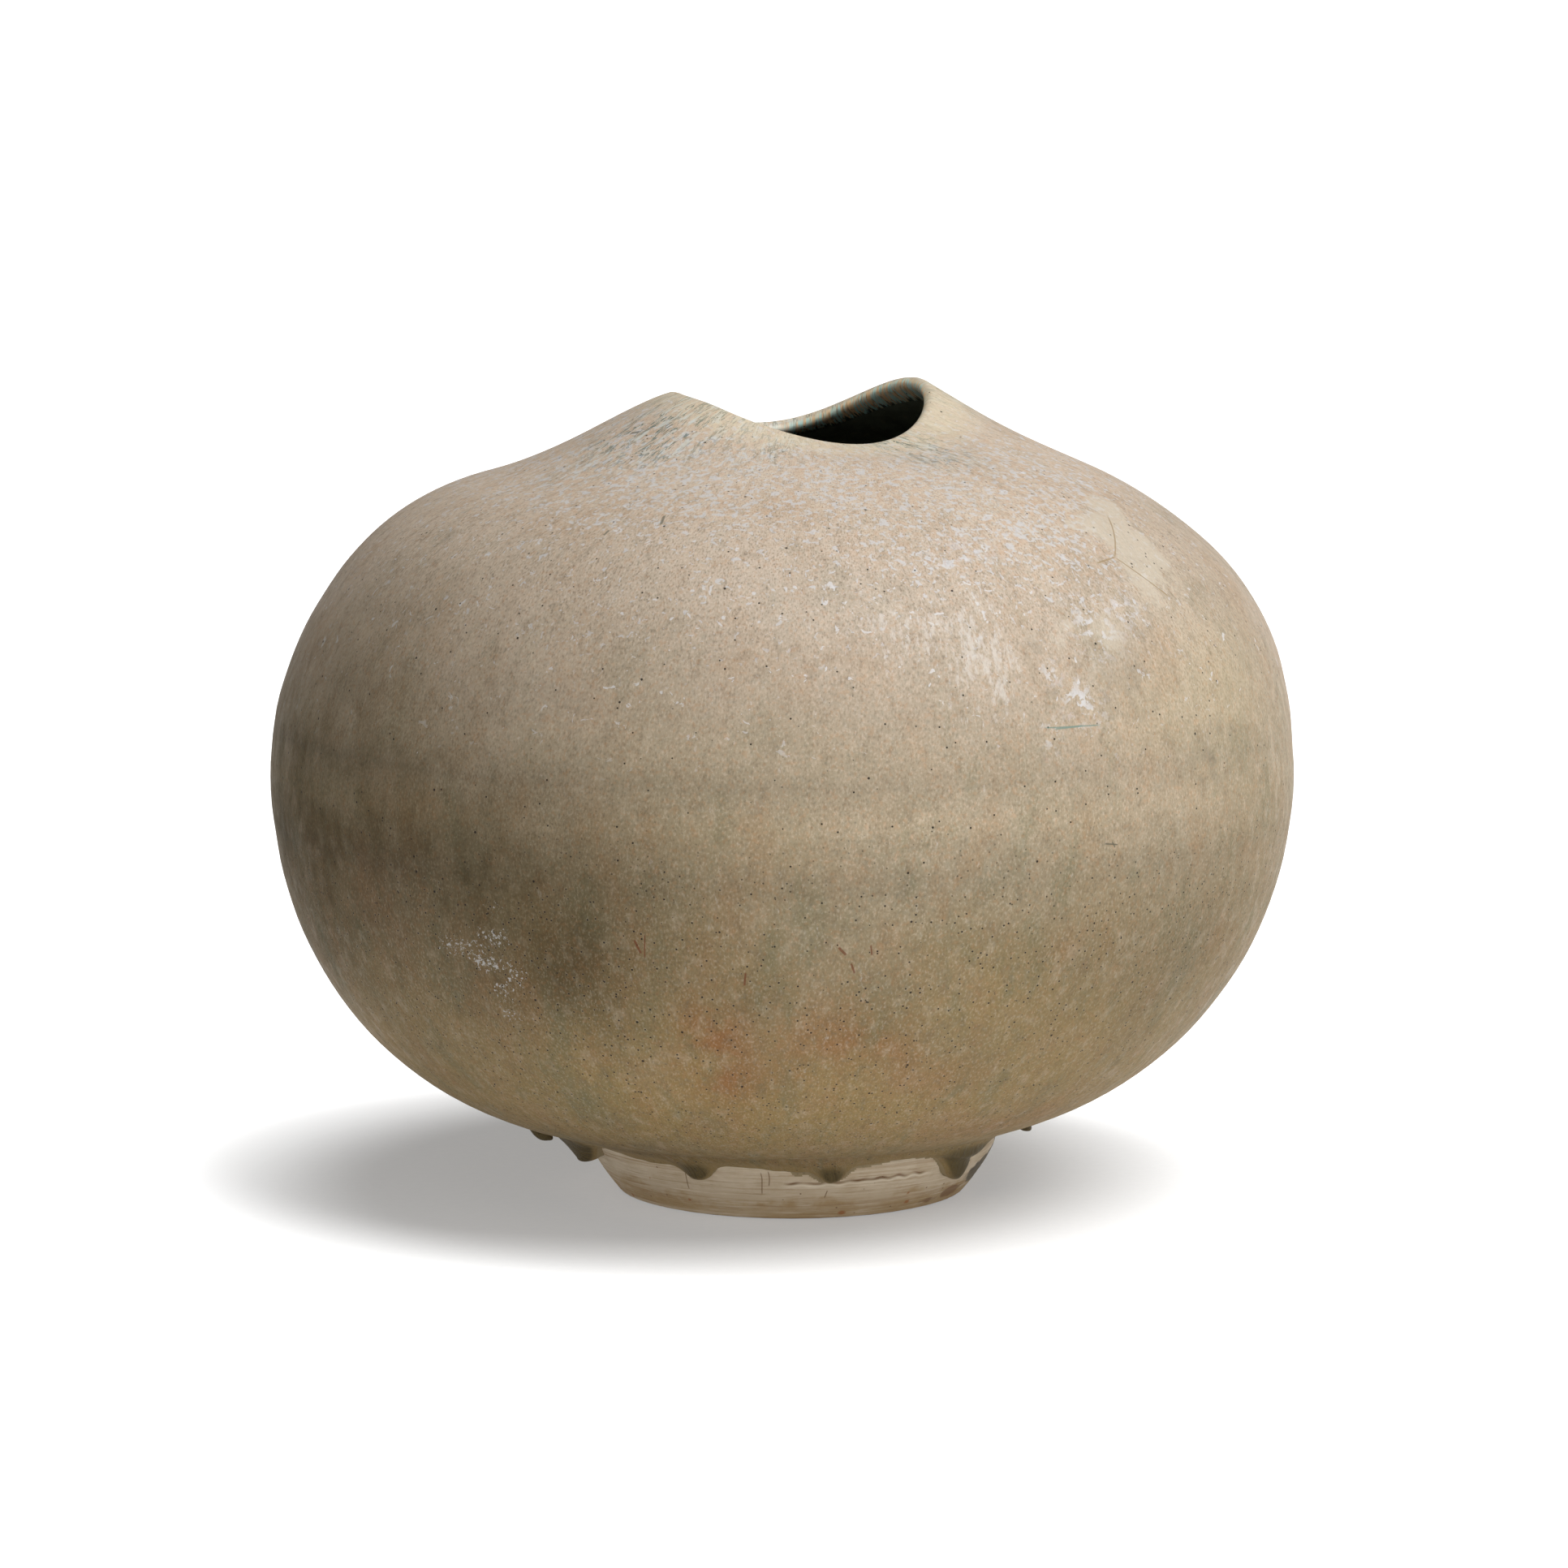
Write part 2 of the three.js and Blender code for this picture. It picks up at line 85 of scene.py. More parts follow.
# The lip waves twice round the pot, tilts once and ripples three times. Each azimuth is that of a peak.
LIP_WAVE_HEIGHT = 8.2
LIP_PEAK_AZIMUTH = 22.5
LIP_TILT_HEIGHT = 0.8
LIP_TILT_AZIMUTH = 121
LIP_RIPPLE_HEIGHT = 1.2
LIP_RIPPLE_AZIMUTH = 36
LIP_SLOPE_WAVE = 12
SHOULDER_SLOPE_WAVE = 1.5
# The left peak is rounded off: how much lower and flatter it is, and how much shorter the neck's handle.
ROUNDED_PEAK_AZIMUTH = 199
ROUNDED_PEAK_WIDTH = 36
ROUNDED_PEAK_DROP = 1.1
ROUNDED_PEAK_SLOPE = 17
ROUNDED_PEAK_PULL = 15
# In front of that peak the lip swells up a little.
SWELL_AZIMUTH = 224
SWELL_WIDTH = 16
SWELL_HEIGHT = 0.6

# How far the pot's middle stands off the Z axis at each height.
LEAN_BY_HEIGHT = [
    (0.64 * GLAZE_LINE_HEIGHT, 3.3),
    (1.36 * GLAZE_LINE_HEIGHT, -3.2),
    (BELLY_HEIGHT, 0),
    (0.913 * SHOULDER_HEIGHT, 2.4),
    (0.984 * LIP_HEIGHT, 6.6),
]

# How far the fine surface lies inside the CAD one, which is faceted: on the body and at the lip.
BODY_INSET = 0.03
LIP_INSET = 0.32

# The lower edge of the glaze on the foot: azimuth, height.
GLAZE_EDGE = [
    (10, 19.5), (45, 20.3), (95, 18.8), (140, 20.6), (180, 19.4), (200, 19.4), (216, 20.6), (229, 18.4),
    (237, 18.8), (254, 20.6), (262, 19.8), (272, 18.6), (291, 20.6), (300, 21.6), (308, 21.8), (332, 20.8),
    (345, 20.2),
]
EDGE_THICKNESS = 1.5

# Runs that hang from the edge: azimuth, height of the tip, half width, how far the run stands out, and how
# far past the corner of the foot its thick root reaches along the underside.
RUNS = [
    (201, 15.4, 5.8, 6.6, 7), (244.6, 15.2, 6, 2.4, 3), (281, 15.4, 5.4, 2.4, 2),
    (320.5, 11.6, 7.6, 3.2, 10), (22, 14.5, 4.4, 3, 5), (71, 11.5, 4.8, 3.4, 7),
    (118, 16.2, 5.4, 2.6, 2), (163, 13.5, 4.4, 3, 5),
]
# Beads that hang from the underside, clear of the foot: azimuth, distance from the axis, radius, length.
BEADS = [(198.5, 86.6, 3.6, 4.4), (349.4, 84.4, 2.8, 3)]
RUN_RADIUS = 71  # distance of the runs from the axis
RUN_SAG = 0.3  # how far a run sags, over how far it stands out
BEAD_SAG = 0.9  # how far the glaze round a bead sags
EDGE_TUCK = 0.35  # how far the glaze lies in the slip
EDGE_MARGIN = 1.4  # how far the mesh goes on past the edge, inside the slip

# The skirt is the lower part of the glaze, with its edge, runs and beads. A place along the side is 0 at
# the glaze line, 1 at the belly, 2 at the shoulder and 3 at the lip.
SKIRT_BOTTOM_HEIGHT = 3
SKIRT_TOP_PLACE = 0.13
CORNER_FOOT_HEIGHT = 18.6  # the corner is rounded from here
CORNER_PLACE = 0.045  # to here
CORNER_CUT = 0.4
CORNER_EVENING = 4.5  # reach over which the skirt's direction is evened out

# The lining: the place where it ends, and how far inside the CAD lining it lies by place.
LINING_TOP_PLACE = 2.92
LINING_INSETS = [(0, 3.6), (1, 3.6), (2, 2.6), (2.6, 1.2), (3, 0.25)]

# Shallow rings that the potter's fingers left: height, depth and half height.
THROWN_RINGS = [
    (157.5, 0.2, 6), (164, 0.09, 1.8), (153, 0.07, 1.6), (124, 0.2, 8), (178, 0.08, 4), (206, 0.08, 5),
]
# Along some of them the glaze is a little darker or paler: height, half height and strength.
RING_BANDS = [(163.5, 3.2, -1), (150, 5, 1), (131, 5.5, -0.9), (141, 3, 0.3), (176, 4, 0.3)]
BANDS_STRONGEST_AT = 225

# Fineness of the meshes.
GLAZE_COLUMNS = 600
SKIRT_STEP = 0.62
BODY_ROWS = 96
LIP_ROWS = 9
LINING_COLUMNS = 240
SLIP_COLUMNS = 720
SLIP_ROWS = 72

# The photograph is exposed for a white ground, so the glaze's own colour is darker than it looks in it.
SEEN_TO_OWN = 0.45
# The broad tones lie between these heights.
TONES_FROM = 20
TONES_TO = 278
# What the painted side shade, the bands and the painted shade on the top leave of the glaze's colour.
# Painted shade: darkens and browns the side of the glaze away from the lights.
PAINTED_SHADE_LEAVES = (0.3, 0.275, 0.195, 1)
DARK_BAND_LEAVES = (0.86, 0.86, 0.86, 1)
PALE_BAND_LEAVES = (1.13, 1.13, 1.13, 1)
# Painted shade: darkens the top, against the light that falls on it from above.
TOP_PAINTED_SHADE_LEAVES = (0.79, 0.79, 0.8, 1)

# Marks on the glaze, in soft ellipses: azimuth, height, half width, half height, strength.
GLAZE_MARKS = {
    # Painted shade on the side away from the lights.
    "painted_side_shade": [
        (208, 141, 110, 76, 1), (239, 132, 46, 30, 0.76), (249, 103, 48, 26, 0.32), (322, 102, 84, 54, 0.3),
        (238, 27, 26, 8, 0.3), (60, 120, 90, 60, 0.35), (130, 110, 90, 60, 0.3),
    ],
    "pale": [
        (288, 207, 26, 12, 0.8), (281, 206, 16, 9, 0.3), (296, 206, 14, 13, 0.5), (292, 194, 14, 12, 0.45),
        (274, 205, 22, 10, 0.3),
    ],
    "cream": [
        (327, 233, 11, 9, 1), (323, 222, 9, 6, 0.9), (331, 239, 9, 4, 0.9), (318, 238, 8, 4, 0.4),
        (325, 224, 26, 16, 0.55), (306, 204, 22, 14, 0.5),
    ],
    "yellow": [(328, 188, 34, 22, 0.75), (316, 180, 26, 16, 0.4)],
    "white": [
        (304, 187, 5, 5, 1), (301, 196, 4, 3, 0.8), (309, 208, 8, 8, 0.8), (315, 213, 7, 6, 0.7),
        (306, 183, 6, 4, 0.6), (294, 232, 14, 4, 0.5), (300, 176, 3, 5, 0.6),
    ],
    "scuffs": [
        (237.5, 119, 2.5, 2, 1), (237.5, 111, 9, 2, 0.85), (235.5, 102, 9, 4, 0.95), (239.5, 98.5, 6, 3, 1),
        (231, 106, 9, 5, 0.7), (237, 91, 6, 4, 0.75), (238, 83, 9, 2.5, 0.7),
    ],
    "rust": [
        (262.5, 80, 10, 15, 1), (264, 66, 11, 12, 0.9), (277, 80, 14, 9, 0.75), (284, 72, 12, 9, 0.6),
        (271, 70, 12, 10, 0.45), (292, 62, 16, 8, 0.35), (310, 40, 30, 7, 0.5), (220, 120, 22, 26, 0.35),
        (238, 88, 14, 14, 0.25), (90, 75, 30, 16, 0.7), (130, 82, 16, 18, 0.8), (30, 70, 22, 14, 0.6),
    ],
    "olive": [
        (245.5, 98, 15, 14, 1), (248, 110, 10, 12, 0.7), (228, 128, 24, 14, 0.6), (250, 88, 8, 14, 0.6),
        (268, 92, 12, 8, 0.4), (281, 84, 14, 10, 0.4), (200, 100, 24, 30, 0.5), (60, 105, 26, 20, 0.7),
        (105, 100, 20, 18, 0.8), (155, 110, 22, 20, 0.7), (5, 100, 24, 22, 0.5),
    ],
    "teal": [
        (251.5, 80, 4, 24, 1), (247, 60, 10, 16, 0.8), (241, 52, 12, 12, 0.8), (255, 92, 5, 14, 0.5),
        (232, 96, 8, 22, 0.5), (222, 84, 12, 26, 0.7), (210, 90, 12, 30, 0.6), (268, 62, 6, 12, 0.35),
        (262, 46, 16, 6, 0.6), (283, 34, 10, 6, 0.5), (296, 66, 6, 14, 0.3), (235, 128, 7, 12, 0.5),
        (80, 60, 14, 20, 0.8), (120, 58, 14, 20, 0.8), (165, 66, 12, 24, 0.8), (15, 58, 14, 20, 0.6),
        (48, 75, 8, 24, 0.6), (143, 92, 8, 24, 0.7), (186, 70, 12, 26, 0.7),
    ],
    "dust": [
        (300, 203, 5, 5, 0.6), (318, 205, 10, 12, 0.6), (312, 190, 16, 12, 0.5), (325, 165, 16, 12, 0.7),
        (211.5, 232.5, 5, 2.2, 1), (299, 229.5, 3, 2, 0.6), (306, 176, 9, 7, 0.5), (285, 186, 5, 4, 0.4),
    ],
    "crystals": [
        (285, 252, 60, 13, 1), (308, 236, 44, 16, 1), (262, 250, 44, 9, 0.8), (330, 250, 40, 12, 1),
        (236, 250, 44, 14, 0.9), (210, 256, 36, 16, 0.9), (290, 232, 50, 8, 0.5), (20, 245, 60, 16, 0.9),
        (75, 245, 70, 16, 0.9), (130, 245, 60, 14, 0.9), (170, 248, 44, 16, 0.9),
    ],
    "veins": [
        (216, 266, 22, 12, 1), (232, 262, 14, 8, 0.7), (312, 260, 16, 7, 0.8), (260, 261, 12, 6, 0.5),
        (30, 268, 30, 12, 0.8), (100, 262, 40, 10, 0.7),
    ],
    # Painted highlight on the far rim, inside the mouth.
    "painted_lip_highlight": [(105, 257, 7, 4, 1), (116, 258, 6, 4, 0.5)],
}

# Fine lines in the glaze: from and to (azimuth, height), width in mm and colour.
FINE_LINES = [
    ((328.5, 238.5), (320.3, 227.6), 0.3, "crack"), ((320.3, 227.6), (325.2, 214.2), 0.4, "crack"),
    ((320.3, 227.6), (315.8, 226.6), 0.25, "crack"), ((254.2, 113), (254.9, 108.5), 0.5, "rust"),
    ((255.4, 115), (255.3, 107), 0.3, "rust"), ((266.4, 103), (266.3, 98.5), 0.45, "rust"),
    ((276.3, 111.5), (277.2, 108.8), 0.6, "rust"), ((277.8, 106), (278.3, 102.5), 0.45, "rust"),
    ((279.8, 112), (280, 108.6), 0.4, "rust"), ((300.5, 178.6), (304.2, 178.9), 0.4, "teal"),
    ((299.2, 179.2), (306.5, 178.6), 0.3, "teal"), ((306.6, 140.4), (308.4, 139.6), 0.35, "dark"),
    ((307.6, 140.8), (308, 138.8), 0.3, "dark"), ((248.2, 243.2), (248.9, 240.8), 0.6, "dark"),
    ((241.3, 238.6), (241.1, 237.2), 0.6, "dark"), ((212.5, 263.6), (215.4, 264.2), 0.5, "dark"),
]

# Marks on the foot, in soft ellipses too: slip chipped down to the clay, slip wetted by glaze, and rust.
BARE_PATCHES = [(330, 4.2, 7, 2.2, 1), (318, 2.8, 5, 1.2, 0.6), (150, 3, 12, 3, 0.9)]
STAINS = [(10, 19, 11, 6, 1), (1, 14, 13, 5, 1), (351, 9.8, 17, 5, 1), (344, 8.6, 9, 3.6, 0.5)]
RUST_SPOTS = [
    (286, 2.2, 1.4, 0.9, 1), (207, 1.8, 0.9, 0.7, 1), (308.5, 4, 1.2, 0.8, 0.9),
    (237.2, 5.6, 0.7, 0.5, 0.9), (307.2, 7.6, 0.9, 0.7, 0.7), (225, 12, 0.6, 0.5, 0.6),
    (296, 20.6, 3, 0.5, 0.7), (120, 6, 1.2, 0.9, 0.9), (60, 9, 1, 0.8, 0.9), (20, 4, 1.4, 0.8, 0.8),
]
# Hair cracks in the slip: azimuth, and heights of the lower and upper end.
HAIR_CRACKS = [(238.7, 10, 16.4), (261.4, 10, 18.2), (263.6, 13.2, 18.8), (279.6, 8.5, 11.4), (150, 9, 17)]
HAIR_CRACK_SLANT = 0.6  # degrees from its lower to its upper end
HAIR_CRACK_WIDTH = 0.28
HAIR_CRACK_RADIUS = 67  # distance from the axis
# The ledge at a long crack, between two azimuths, with its height at the first and its rise to the second.
LEDGE_FROM = 269
LEDGE_TO = 312
LEDGE_HEIGHT = 14.1
LEDGE_RISE = 1.2
SLIP_SUNK = (0.02, 0.85)  # least and most depth of marks in the slip

# Soft lights: strength, azimuth from the pot, elevation and spread in degrees.
LIGHTS = {
    "key": (5.6, -33, 57, 44),
    "fill": (0.8, -75, 34, 55),
    "top": (1.7, -60, 84, 36),
}
HORIZON = 0.85  # brightness of the surround near the horizon
OVERHEAD = 0.03  # and higher up
HORIZON_FADE = (0.075, 0.12)  # sines of the elevations between which it fades
# Painted light: the paper glows, weakly under the pot and most in a ring round it, so that its shadow stays
# close to the pot.
FLOOR_GLOW = 0.32  # of the lit paper under the pot
FLOOR_GLOW_RING = 0.78  # in a ring round it
FLOOR_GLOW_FAR = 0.5  # and clear of it
GLOW_RISE = (140, 235)  # distances from the axis between which the glow rises
GLOW_FALL = (320, 420)  # and between which it falls again
FLOOR_HALF_WIDTH = 40000

CAMERA_DISTANCE = 2300
CAMERA_HEIGHT = 470
CAMERA_RIGHT = 0.7
CAMERA_PITCH = 8.172
PHOTO_SIDE = 1932
FOCAL_PIXELS = 8353.22
SENSOR = 36


def azimuth_gap(azimuth, other):
    return (azimuth - other + 180) % 360 - 180


def bell(distance, width):
    """1 in the middle, falling off softly."""
    return np.exp(-((distance / width) ** 2))


def smooth_step(value, low, high):
    share = np.clip((value - low) / (high - low), 0, 1)
    return share * share * (3 - 2 * share)


def bezier(corners, share):
    """Points of a Bezier curve. The corners are the last axis but one."""
    corners = np.asarray(corners, float)
    degree = corners.shape[-2] - 1
    total = 0
    for k in range(degree + 1):
        weight = math.comb(degree, k) * share**k * (1 - share) ** (degree - k)
        total = total + np.asarray(weight)[..., None] * corners[..., k, :]
    return total


def lean_at(height):
    """How far the pot's middle stands off the Z axis."""
    lean = np.full_like(height, LEAN_BY_HEIGHT[0][1], dtype=float)
    for (low, lean_low), (high, lean_high) in zip(LEAN_BY_HEIGHT, LEAN_BY_HEIGHT[1:]):
        lean += (lean_high - lean_low) * smooth_step(height, low, high)
    return lean


def rounded_peak(azimuth):
    return bell(azimuth_gap(azimuth, ROUNDED_PEAK_AZIMUTH), ROUNDED_PEAK_WIDTH)


def lip_height_at(azimuth):
    wave = LIP_WAVE_HEIGHT * np.cos(2 * np.radians(azimuth - LIP_PEAK_AZIMUTH))
    tilt = LIP_TILT_HEIGHT * np.cos(np.radians(azimuth - LIP_TILT_AZIMUTH))
    ripple = LIP_RIPPLE_HEIGHT * np.cos(3 * np.radians(azimuth - LIP_RIPPLE_AZIMUTH))
    swell = SWELL_HEIGHT * bell(azimuth_gap(azimuth, SWELL_AZIMUTH), SWELL_WIDTH)
    return LIP_HEIGHT + wave + tilt + ripple + swell - ROUNDED_PEAK_DROP * rounded_peak(azimuth)


def lip_slope_at(azimuth):
    wave = LIP_SLOPE_WAVE * np.cos(2 * np.radians(azimuth - LIP_PEAK_AZIMUTH))
    return np.radians(LIP_SLOPE + wave - ROUNDED_PEAK_SLOPE * rounded_peak(azimuth))


def down_slope(slope, distance):
    """A step out and down along a slope, as (radius, height)."""
    return np.stack([np.cos(slope) * distance, -np.sin(slope) * distance], -1)


def side_curves(azimuth):
    """The underside, the shoulder and the neck at each azimuth, as Bezier corners (radius, height)."""
    turn = np.radians(azimuth)
    sway = np.cos(turn)
    wave = np.cos(2 * np.radians(azimuth - LIP_PEAK_AZIMUTH))
    still = np.zeros_like(turn)

    def point(radius, height):
        return np.stack([still + radius, still + height], -1)

    edge = point(GLAZE_LINE_RADIUS, GLAZE_LINE_HEIGHT)
    belly = point(BELLY_RADIUS, BELLY_HEIGHT)
    shoulder = point(
        SHOULDER_RADIUS + SWAY_SHOULDER_RADIUS * sway, SHOULDER_HEIGHT + SWAY_SHOULDER_HEIGHT * sway
    )
    slope = np.radians(SHOULDER_SLOPE + SWAY_SHOULDER_SLOPE * sway + SHOULDER_SLOPE_WAVE * wave)
    tilt = lip_slope_at(azimuth)
    lip = point(
        MOUTH_RADIUS + LIP_ROUND * np.sin(tilt), lip_height_at(azimuth) + LIP_ROUND * np.cos(tilt)
    )
    out_from_edge = down_slope(still - np.radians(UNDERSIDE_SLOPE), UNDERSIDE_PULL)
    under_belly = point(BELLY_RADIUS, BELLY_HEIGHT - BELLY_PULL_DOWN - SWAY_BELLY_PULL_DOWN * sway)
    over_belly = point(BELLY_RADIUS, BELLY_HEIGHT + BELLY_PULL_UP)
    out_from_shoulder = down_slope(slope, SHOULDER_PULL_OUT + SWAY_SHOULDER_PULL_OUT * sway)
    into_neck = down_slope(slope, SHOULDER_PULL_IN)
    out_from_lip = down_slope(tilt, LIP_PULL - ROUNDED_PEAK_PULL * rounded_peak(azimuth))
    return [
        np.stack([edge, edge + out_from_edge, under_belly, belly], -2),
        np.stack([belly, over_belly, shoulder + out_from_shoulder, shoulder], -2),
        np.stack([shoulder, shoulder - into_neck, lip + out_from_lip, lip], -2),
    ]


def side_points(azimuth, places, depth_at):
    """Points [row, column] on the side. Depth is measured square to the face of the outer glaze."""
    curves = side_curves(azimuth)
    rows = []
    for place in places:
        index = min(int(place), 2)
        share = place - index
        here = bezier(curves[index], share)
        ahead = bezier(curves[index], share + 1e-4)
        behind = bezier(curves[index], share - 1e-4)
        along = (ahead - behind) / np.linalg.norm(ahead - behind, axis=-1, keepdims=True)
        inward = np.stack([-along[:, 1], along[:, 0]], -1)
        rows.append(here + inward * depth_at(place))
    return np.array(rows)


def outside_depth(place):
    return BODY_INSET + (LIP_INSET - BODY_INSET) * smooth_step(place, 2.5, 3)


def wall_at(place):
    """Thickness from the outer face of the glaze to the face of the lining."""
    past_belly = min(max((place - 1) / 2, 0), 1)
    return COATS_AND_SEATS + BELLY_WALL + (LIP_WALL - BELLY_WALL) * past_belly


def side_radius_at(height):
    """Radius of the front of the side at a height."""
    points = side_points(np.array([FRONT]), np.linspace(0, 3, 120), outside_depth)[:, 0]
    return float(np.interp(height, points[:, 1], points[:, 0]))


def foot_radius_at(height):
    share = height / GLAZE_LINE_HEIGHT
    corners = [
        (FOOT_BASE_RADIUS, 0),
        ((FOOT_BASE_RADIUS + FOOT_TOP_RADIUS) / 2 + FOOT_BULGE, GLAZE_LINE_HEIGHT / 2),
        (FOOT_TOP_RADIUS, GLAZE_LINE_HEIGHT),
    ]
    return bezier(corners, share)[..., 0]


def waves(azimuth, height, seed, count=9, round_the_pot=7, per_mm=0.05):
    """A smooth uneven field from about -1 to 1, without a seam round the pot."""
    draw = np.random.default_rng(seed)
    total = 0
    for _ in range(count):
        turns = draw.integers(1, round_the_pot + 1)
        climb = draw.normal(0, per_mm)
        phase = draw.uniform(0, 2 * math.pi)
        total = total + np.sin(np.radians(azimuth) * turns + height * climb + phase)
    return total / math.sqrt(count)


def edge_height_at(azimuth):
    return np.interp(azimuth, *zip(*GLAZE_EDGE), period=360)


def add_object(name, data):
    added = bpy.data.objects.new(name, data)
    bpy.context.scene.collection.objects.link(added)
    return added


def make_mesh(name, points, attributes, material, kept=None):
    """A mesh through points [row, column, xyz] in millimetres that closes round the pot."""
    rows, columns = points.shape[:2]
    index = np.arange(rows * columns).reshape(rows, columns)
    after = np.roll(index, -1, axis=1)
    faces = np.stack([index[:-1], after[:-1], after[1:], index[1:]], -1).reshape(-1, 4)
    if kept is not None:
        faces = faces[kept.reshape(-1)[faces].any(axis=1)]
    used, faces = np.unique(faces, return_inverse=True)
    faces = faces.reshape(-1, 4)
    mesh = bpy.data.meshes.new(name)
    mesh.from_pydata((points.reshape(-1, 3)[used] * METRES_PER_MM).tolist(), [], faces.tolist())
    for key, values in attributes.items():
        values = values.reshape(rows * columns, -1)[used]
        vector = values.shape[1] == 3
        made = mesh.attributes.new(key, "FLOAT_VECTOR" if vector else "FLOAT", "POINT")
        made.data.foreach_set("vector" if vector else "value", values.astype(np.float32).ravel())
    mesh.shade_smooth()
    mesh.update()
    mesh.materials.append(material)
    return add_object(name, mesh)


def turn_round(profile, azimuth):
    """Points in space for profile points [row, column] of (radius, height)."""
    turn = np.radians(azimuth)[None, :]
    radius = profile[..., 0]
    height = profile[..., 1]
    x = lean_at(height) + radius * np.cos(turn)
    return np.stack([x, radius * np.sin(turn), height], -1)


def flow_coordinates(profile, azimuth):
    """Coordinates in metres for marks that run down the pot: round it, and up along its side."""
    steps = np.linalg.norm(np.diff(profile, axis=0), axis=-1)
    along = np.vstack([np.zeros(len(azimuth)), np.cumsum(steps, axis=0)])
    turn = np.broadcast_to(np.radians(azimuth)[None, :], along.shape)
    ring = FLOW_RADIUS * METRES_PER_MM
    return np.stack([ring * np.cos(turn), ring * np.sin(turn), along * METRES_PER_MM], -1)


def unrolled(profile, azimuth):
    """Azimuth in degrees from the front, height in mm and 0, for marks that have a place of their own."""
    height = profile[..., 1]
    round_way = np.broadcast_to(azimuth_gap(azimuth, FRONT)[None, :], height.shape)
    return np.stack([round_way, height, np.zeros_like(height)], -1)


def blobs(profile, azimuth, table):
    """A soft mask of ellipses: azimuth, height, half width and half height in mm, and strength. Where they
    overlap they add up, to 1 at most."""
    height = profile[..., 1]
    radius = profile[..., 0]
    mask = np.zeros_like(height)
    for at, level, wide, tall, strength in table:
        across = np.radians(azimuth_gap(azimuth, at))[None, :] * radius / wide
        up = (height - level) / tall
        mask = 1 - (1 - mask) * (1 - strength * np.exp(-(across**2 + up**2)))
    return mask


def glaze_columns():
    """Azimuths of the mesh's columns, closer together at the runs and beads."""
    sweep = np.linspace(0, 360, 7201)
    density = np.ones_like(sweep)
    for drop_azimuth, *_ in RUNS + BEADS:
        density += 1.3 * bell(azimuth_gap(sweep, drop_azimuth), 6)
    reached = np.concatenate([[0], np.cumsum((density[1:] + density[:-1]) / 2)])
    return np.interp(np.arange(GLAZE_COLUMNS) / GLAZE_COLUMNS, reached / reached[-1], sweep)


def skirt_path():
    """The line that the lower glaze lies on: up the foot, round the corner and out along the underside.
    Returns how far along it each of its points is past the corner, and the points."""
    heights = np.arange(SKIRT_BOTTOM_HEIGHT, CORNER_FOOT_HEIGHT, 0.3)
    foot = np.stack([foot_radius_at(heights), heights], -1)
    places = np.linspace(CORNER_PLACE, SKIRT_TOP_PLACE, 60)
    underside = side_points(np.array([FRONT]), places, outside_depth)[:, 0]
    corner = (GLAZE_LINE_RADIUS - CORNER_CUT, GLAZE_LINE_HEIGHT - CORNER_CUT)
    fillet = bezier([foot[-1], corner, underside[0]], np.linspace(0, 1, 30)[1:-1])
    path = np.concatenate([foot, fillet, underside])
    along = np.concatenate([[0], np.cumsum(np.linalg.norm(np.diff(path, axis=0), axis=1))])
    even = np.linspace(0, along[-1], int(along[-1] / SKIRT_STEP) + 1)
    path = np.stack([np.interp(even, along, path[:, i]) for i in (0, 1)], -1)
    return even - np.interp(GLAZE_LINE_HEIGHT - 1.5, path[:, 1], even), path


def outward_along(path, along):
    """The direction square to the path, evened out where it turns the corner."""
    tangent = np.gradient(path, along, axis=0)
    outward = np.stack([tangent[:, 1], -tangent[:, 0]], -1)
    reach = int(CORNER_EVENING / SKIRT_STEP)
    padded = np.pad(outward, ((reach, reach), (0, 0)), mode="edge")
    window = np.ones(2 * reach + 1) / (2 * reach + 1)
    outward = np.stack([np.convolve(padded[:, i], window, mode="valid") for i in (0, 1)], -1)
    return outward / np.linalg.norm(outward, axis=1, keepdims=True)


def bead_drop(path, azimuth):
    """How far the beads hang down from the underside."""
    radius = path[:, 0][:, None]
    on_underside = path[:, 1][:, None] > GLAZE_LINE_HEIGHT
    drop = np.zeros((len(path), len(azimuth)))
    for bead_azimuth, reach, bead_radius, length in BEADS:
        across = np.radians(azimuth_gap(azimuth, bead_azimuth))[None, :] * radius
        apart = np.hypot(across, radius - reach) / bead_radius
        round_part = np.sqrt(np.clip(1 - apart**4, 0, 1))
        above_middle = path[:, 1] - np.interp(reach, path[:, 0], path[:, 1])
        hang = length * round_part + above_middle[:, None] * np.minimum(2 * round_part, 1)
        drop = np.maximum(drop, (hang + BEAD_SAG * bell(apart, 1)) * on_underside)
    return drop


def edge_and_runs(azimuth, along, path):
    """How far up the path the edge of the glaze lies, and how far the runs stand out [row, column]."""
    edge_height = edge_height_at(azimuth) + 0.25 * waves(azimuth, 0, seed=5, round_the_pot=60)
    edge = np.interp(edge_height, path[:, 1], along)
    rows = along[:, None]
    runs = np.zeros((len(along), len(azimuth)))
    for run_azimuth, tip_height, half_width, stands_out, root in RUNS:
        turn = np.abs(np.radians(azimuth_gap(azimuth, run_azimuth)))
        across = turn * RUN_RADIUS / half_width
        top = np.interp(edge_height_at(run_azimuth), path[:, 1], along)
        tip = np.interp(tip_height, path[:, 1], along)
        edge = edge - (top - tip) * np.exp(-(across**2.4))
        fade = 1 - smooth_step(rows, root - 6, root + 6)
        widening = 1 + 0.5 * smooth_step(rows, -4, 6)
        runs = np.maximum(runs, stands_out * np.exp(-((across / widening) ** 2.2)) * fade)
    return edge, runs


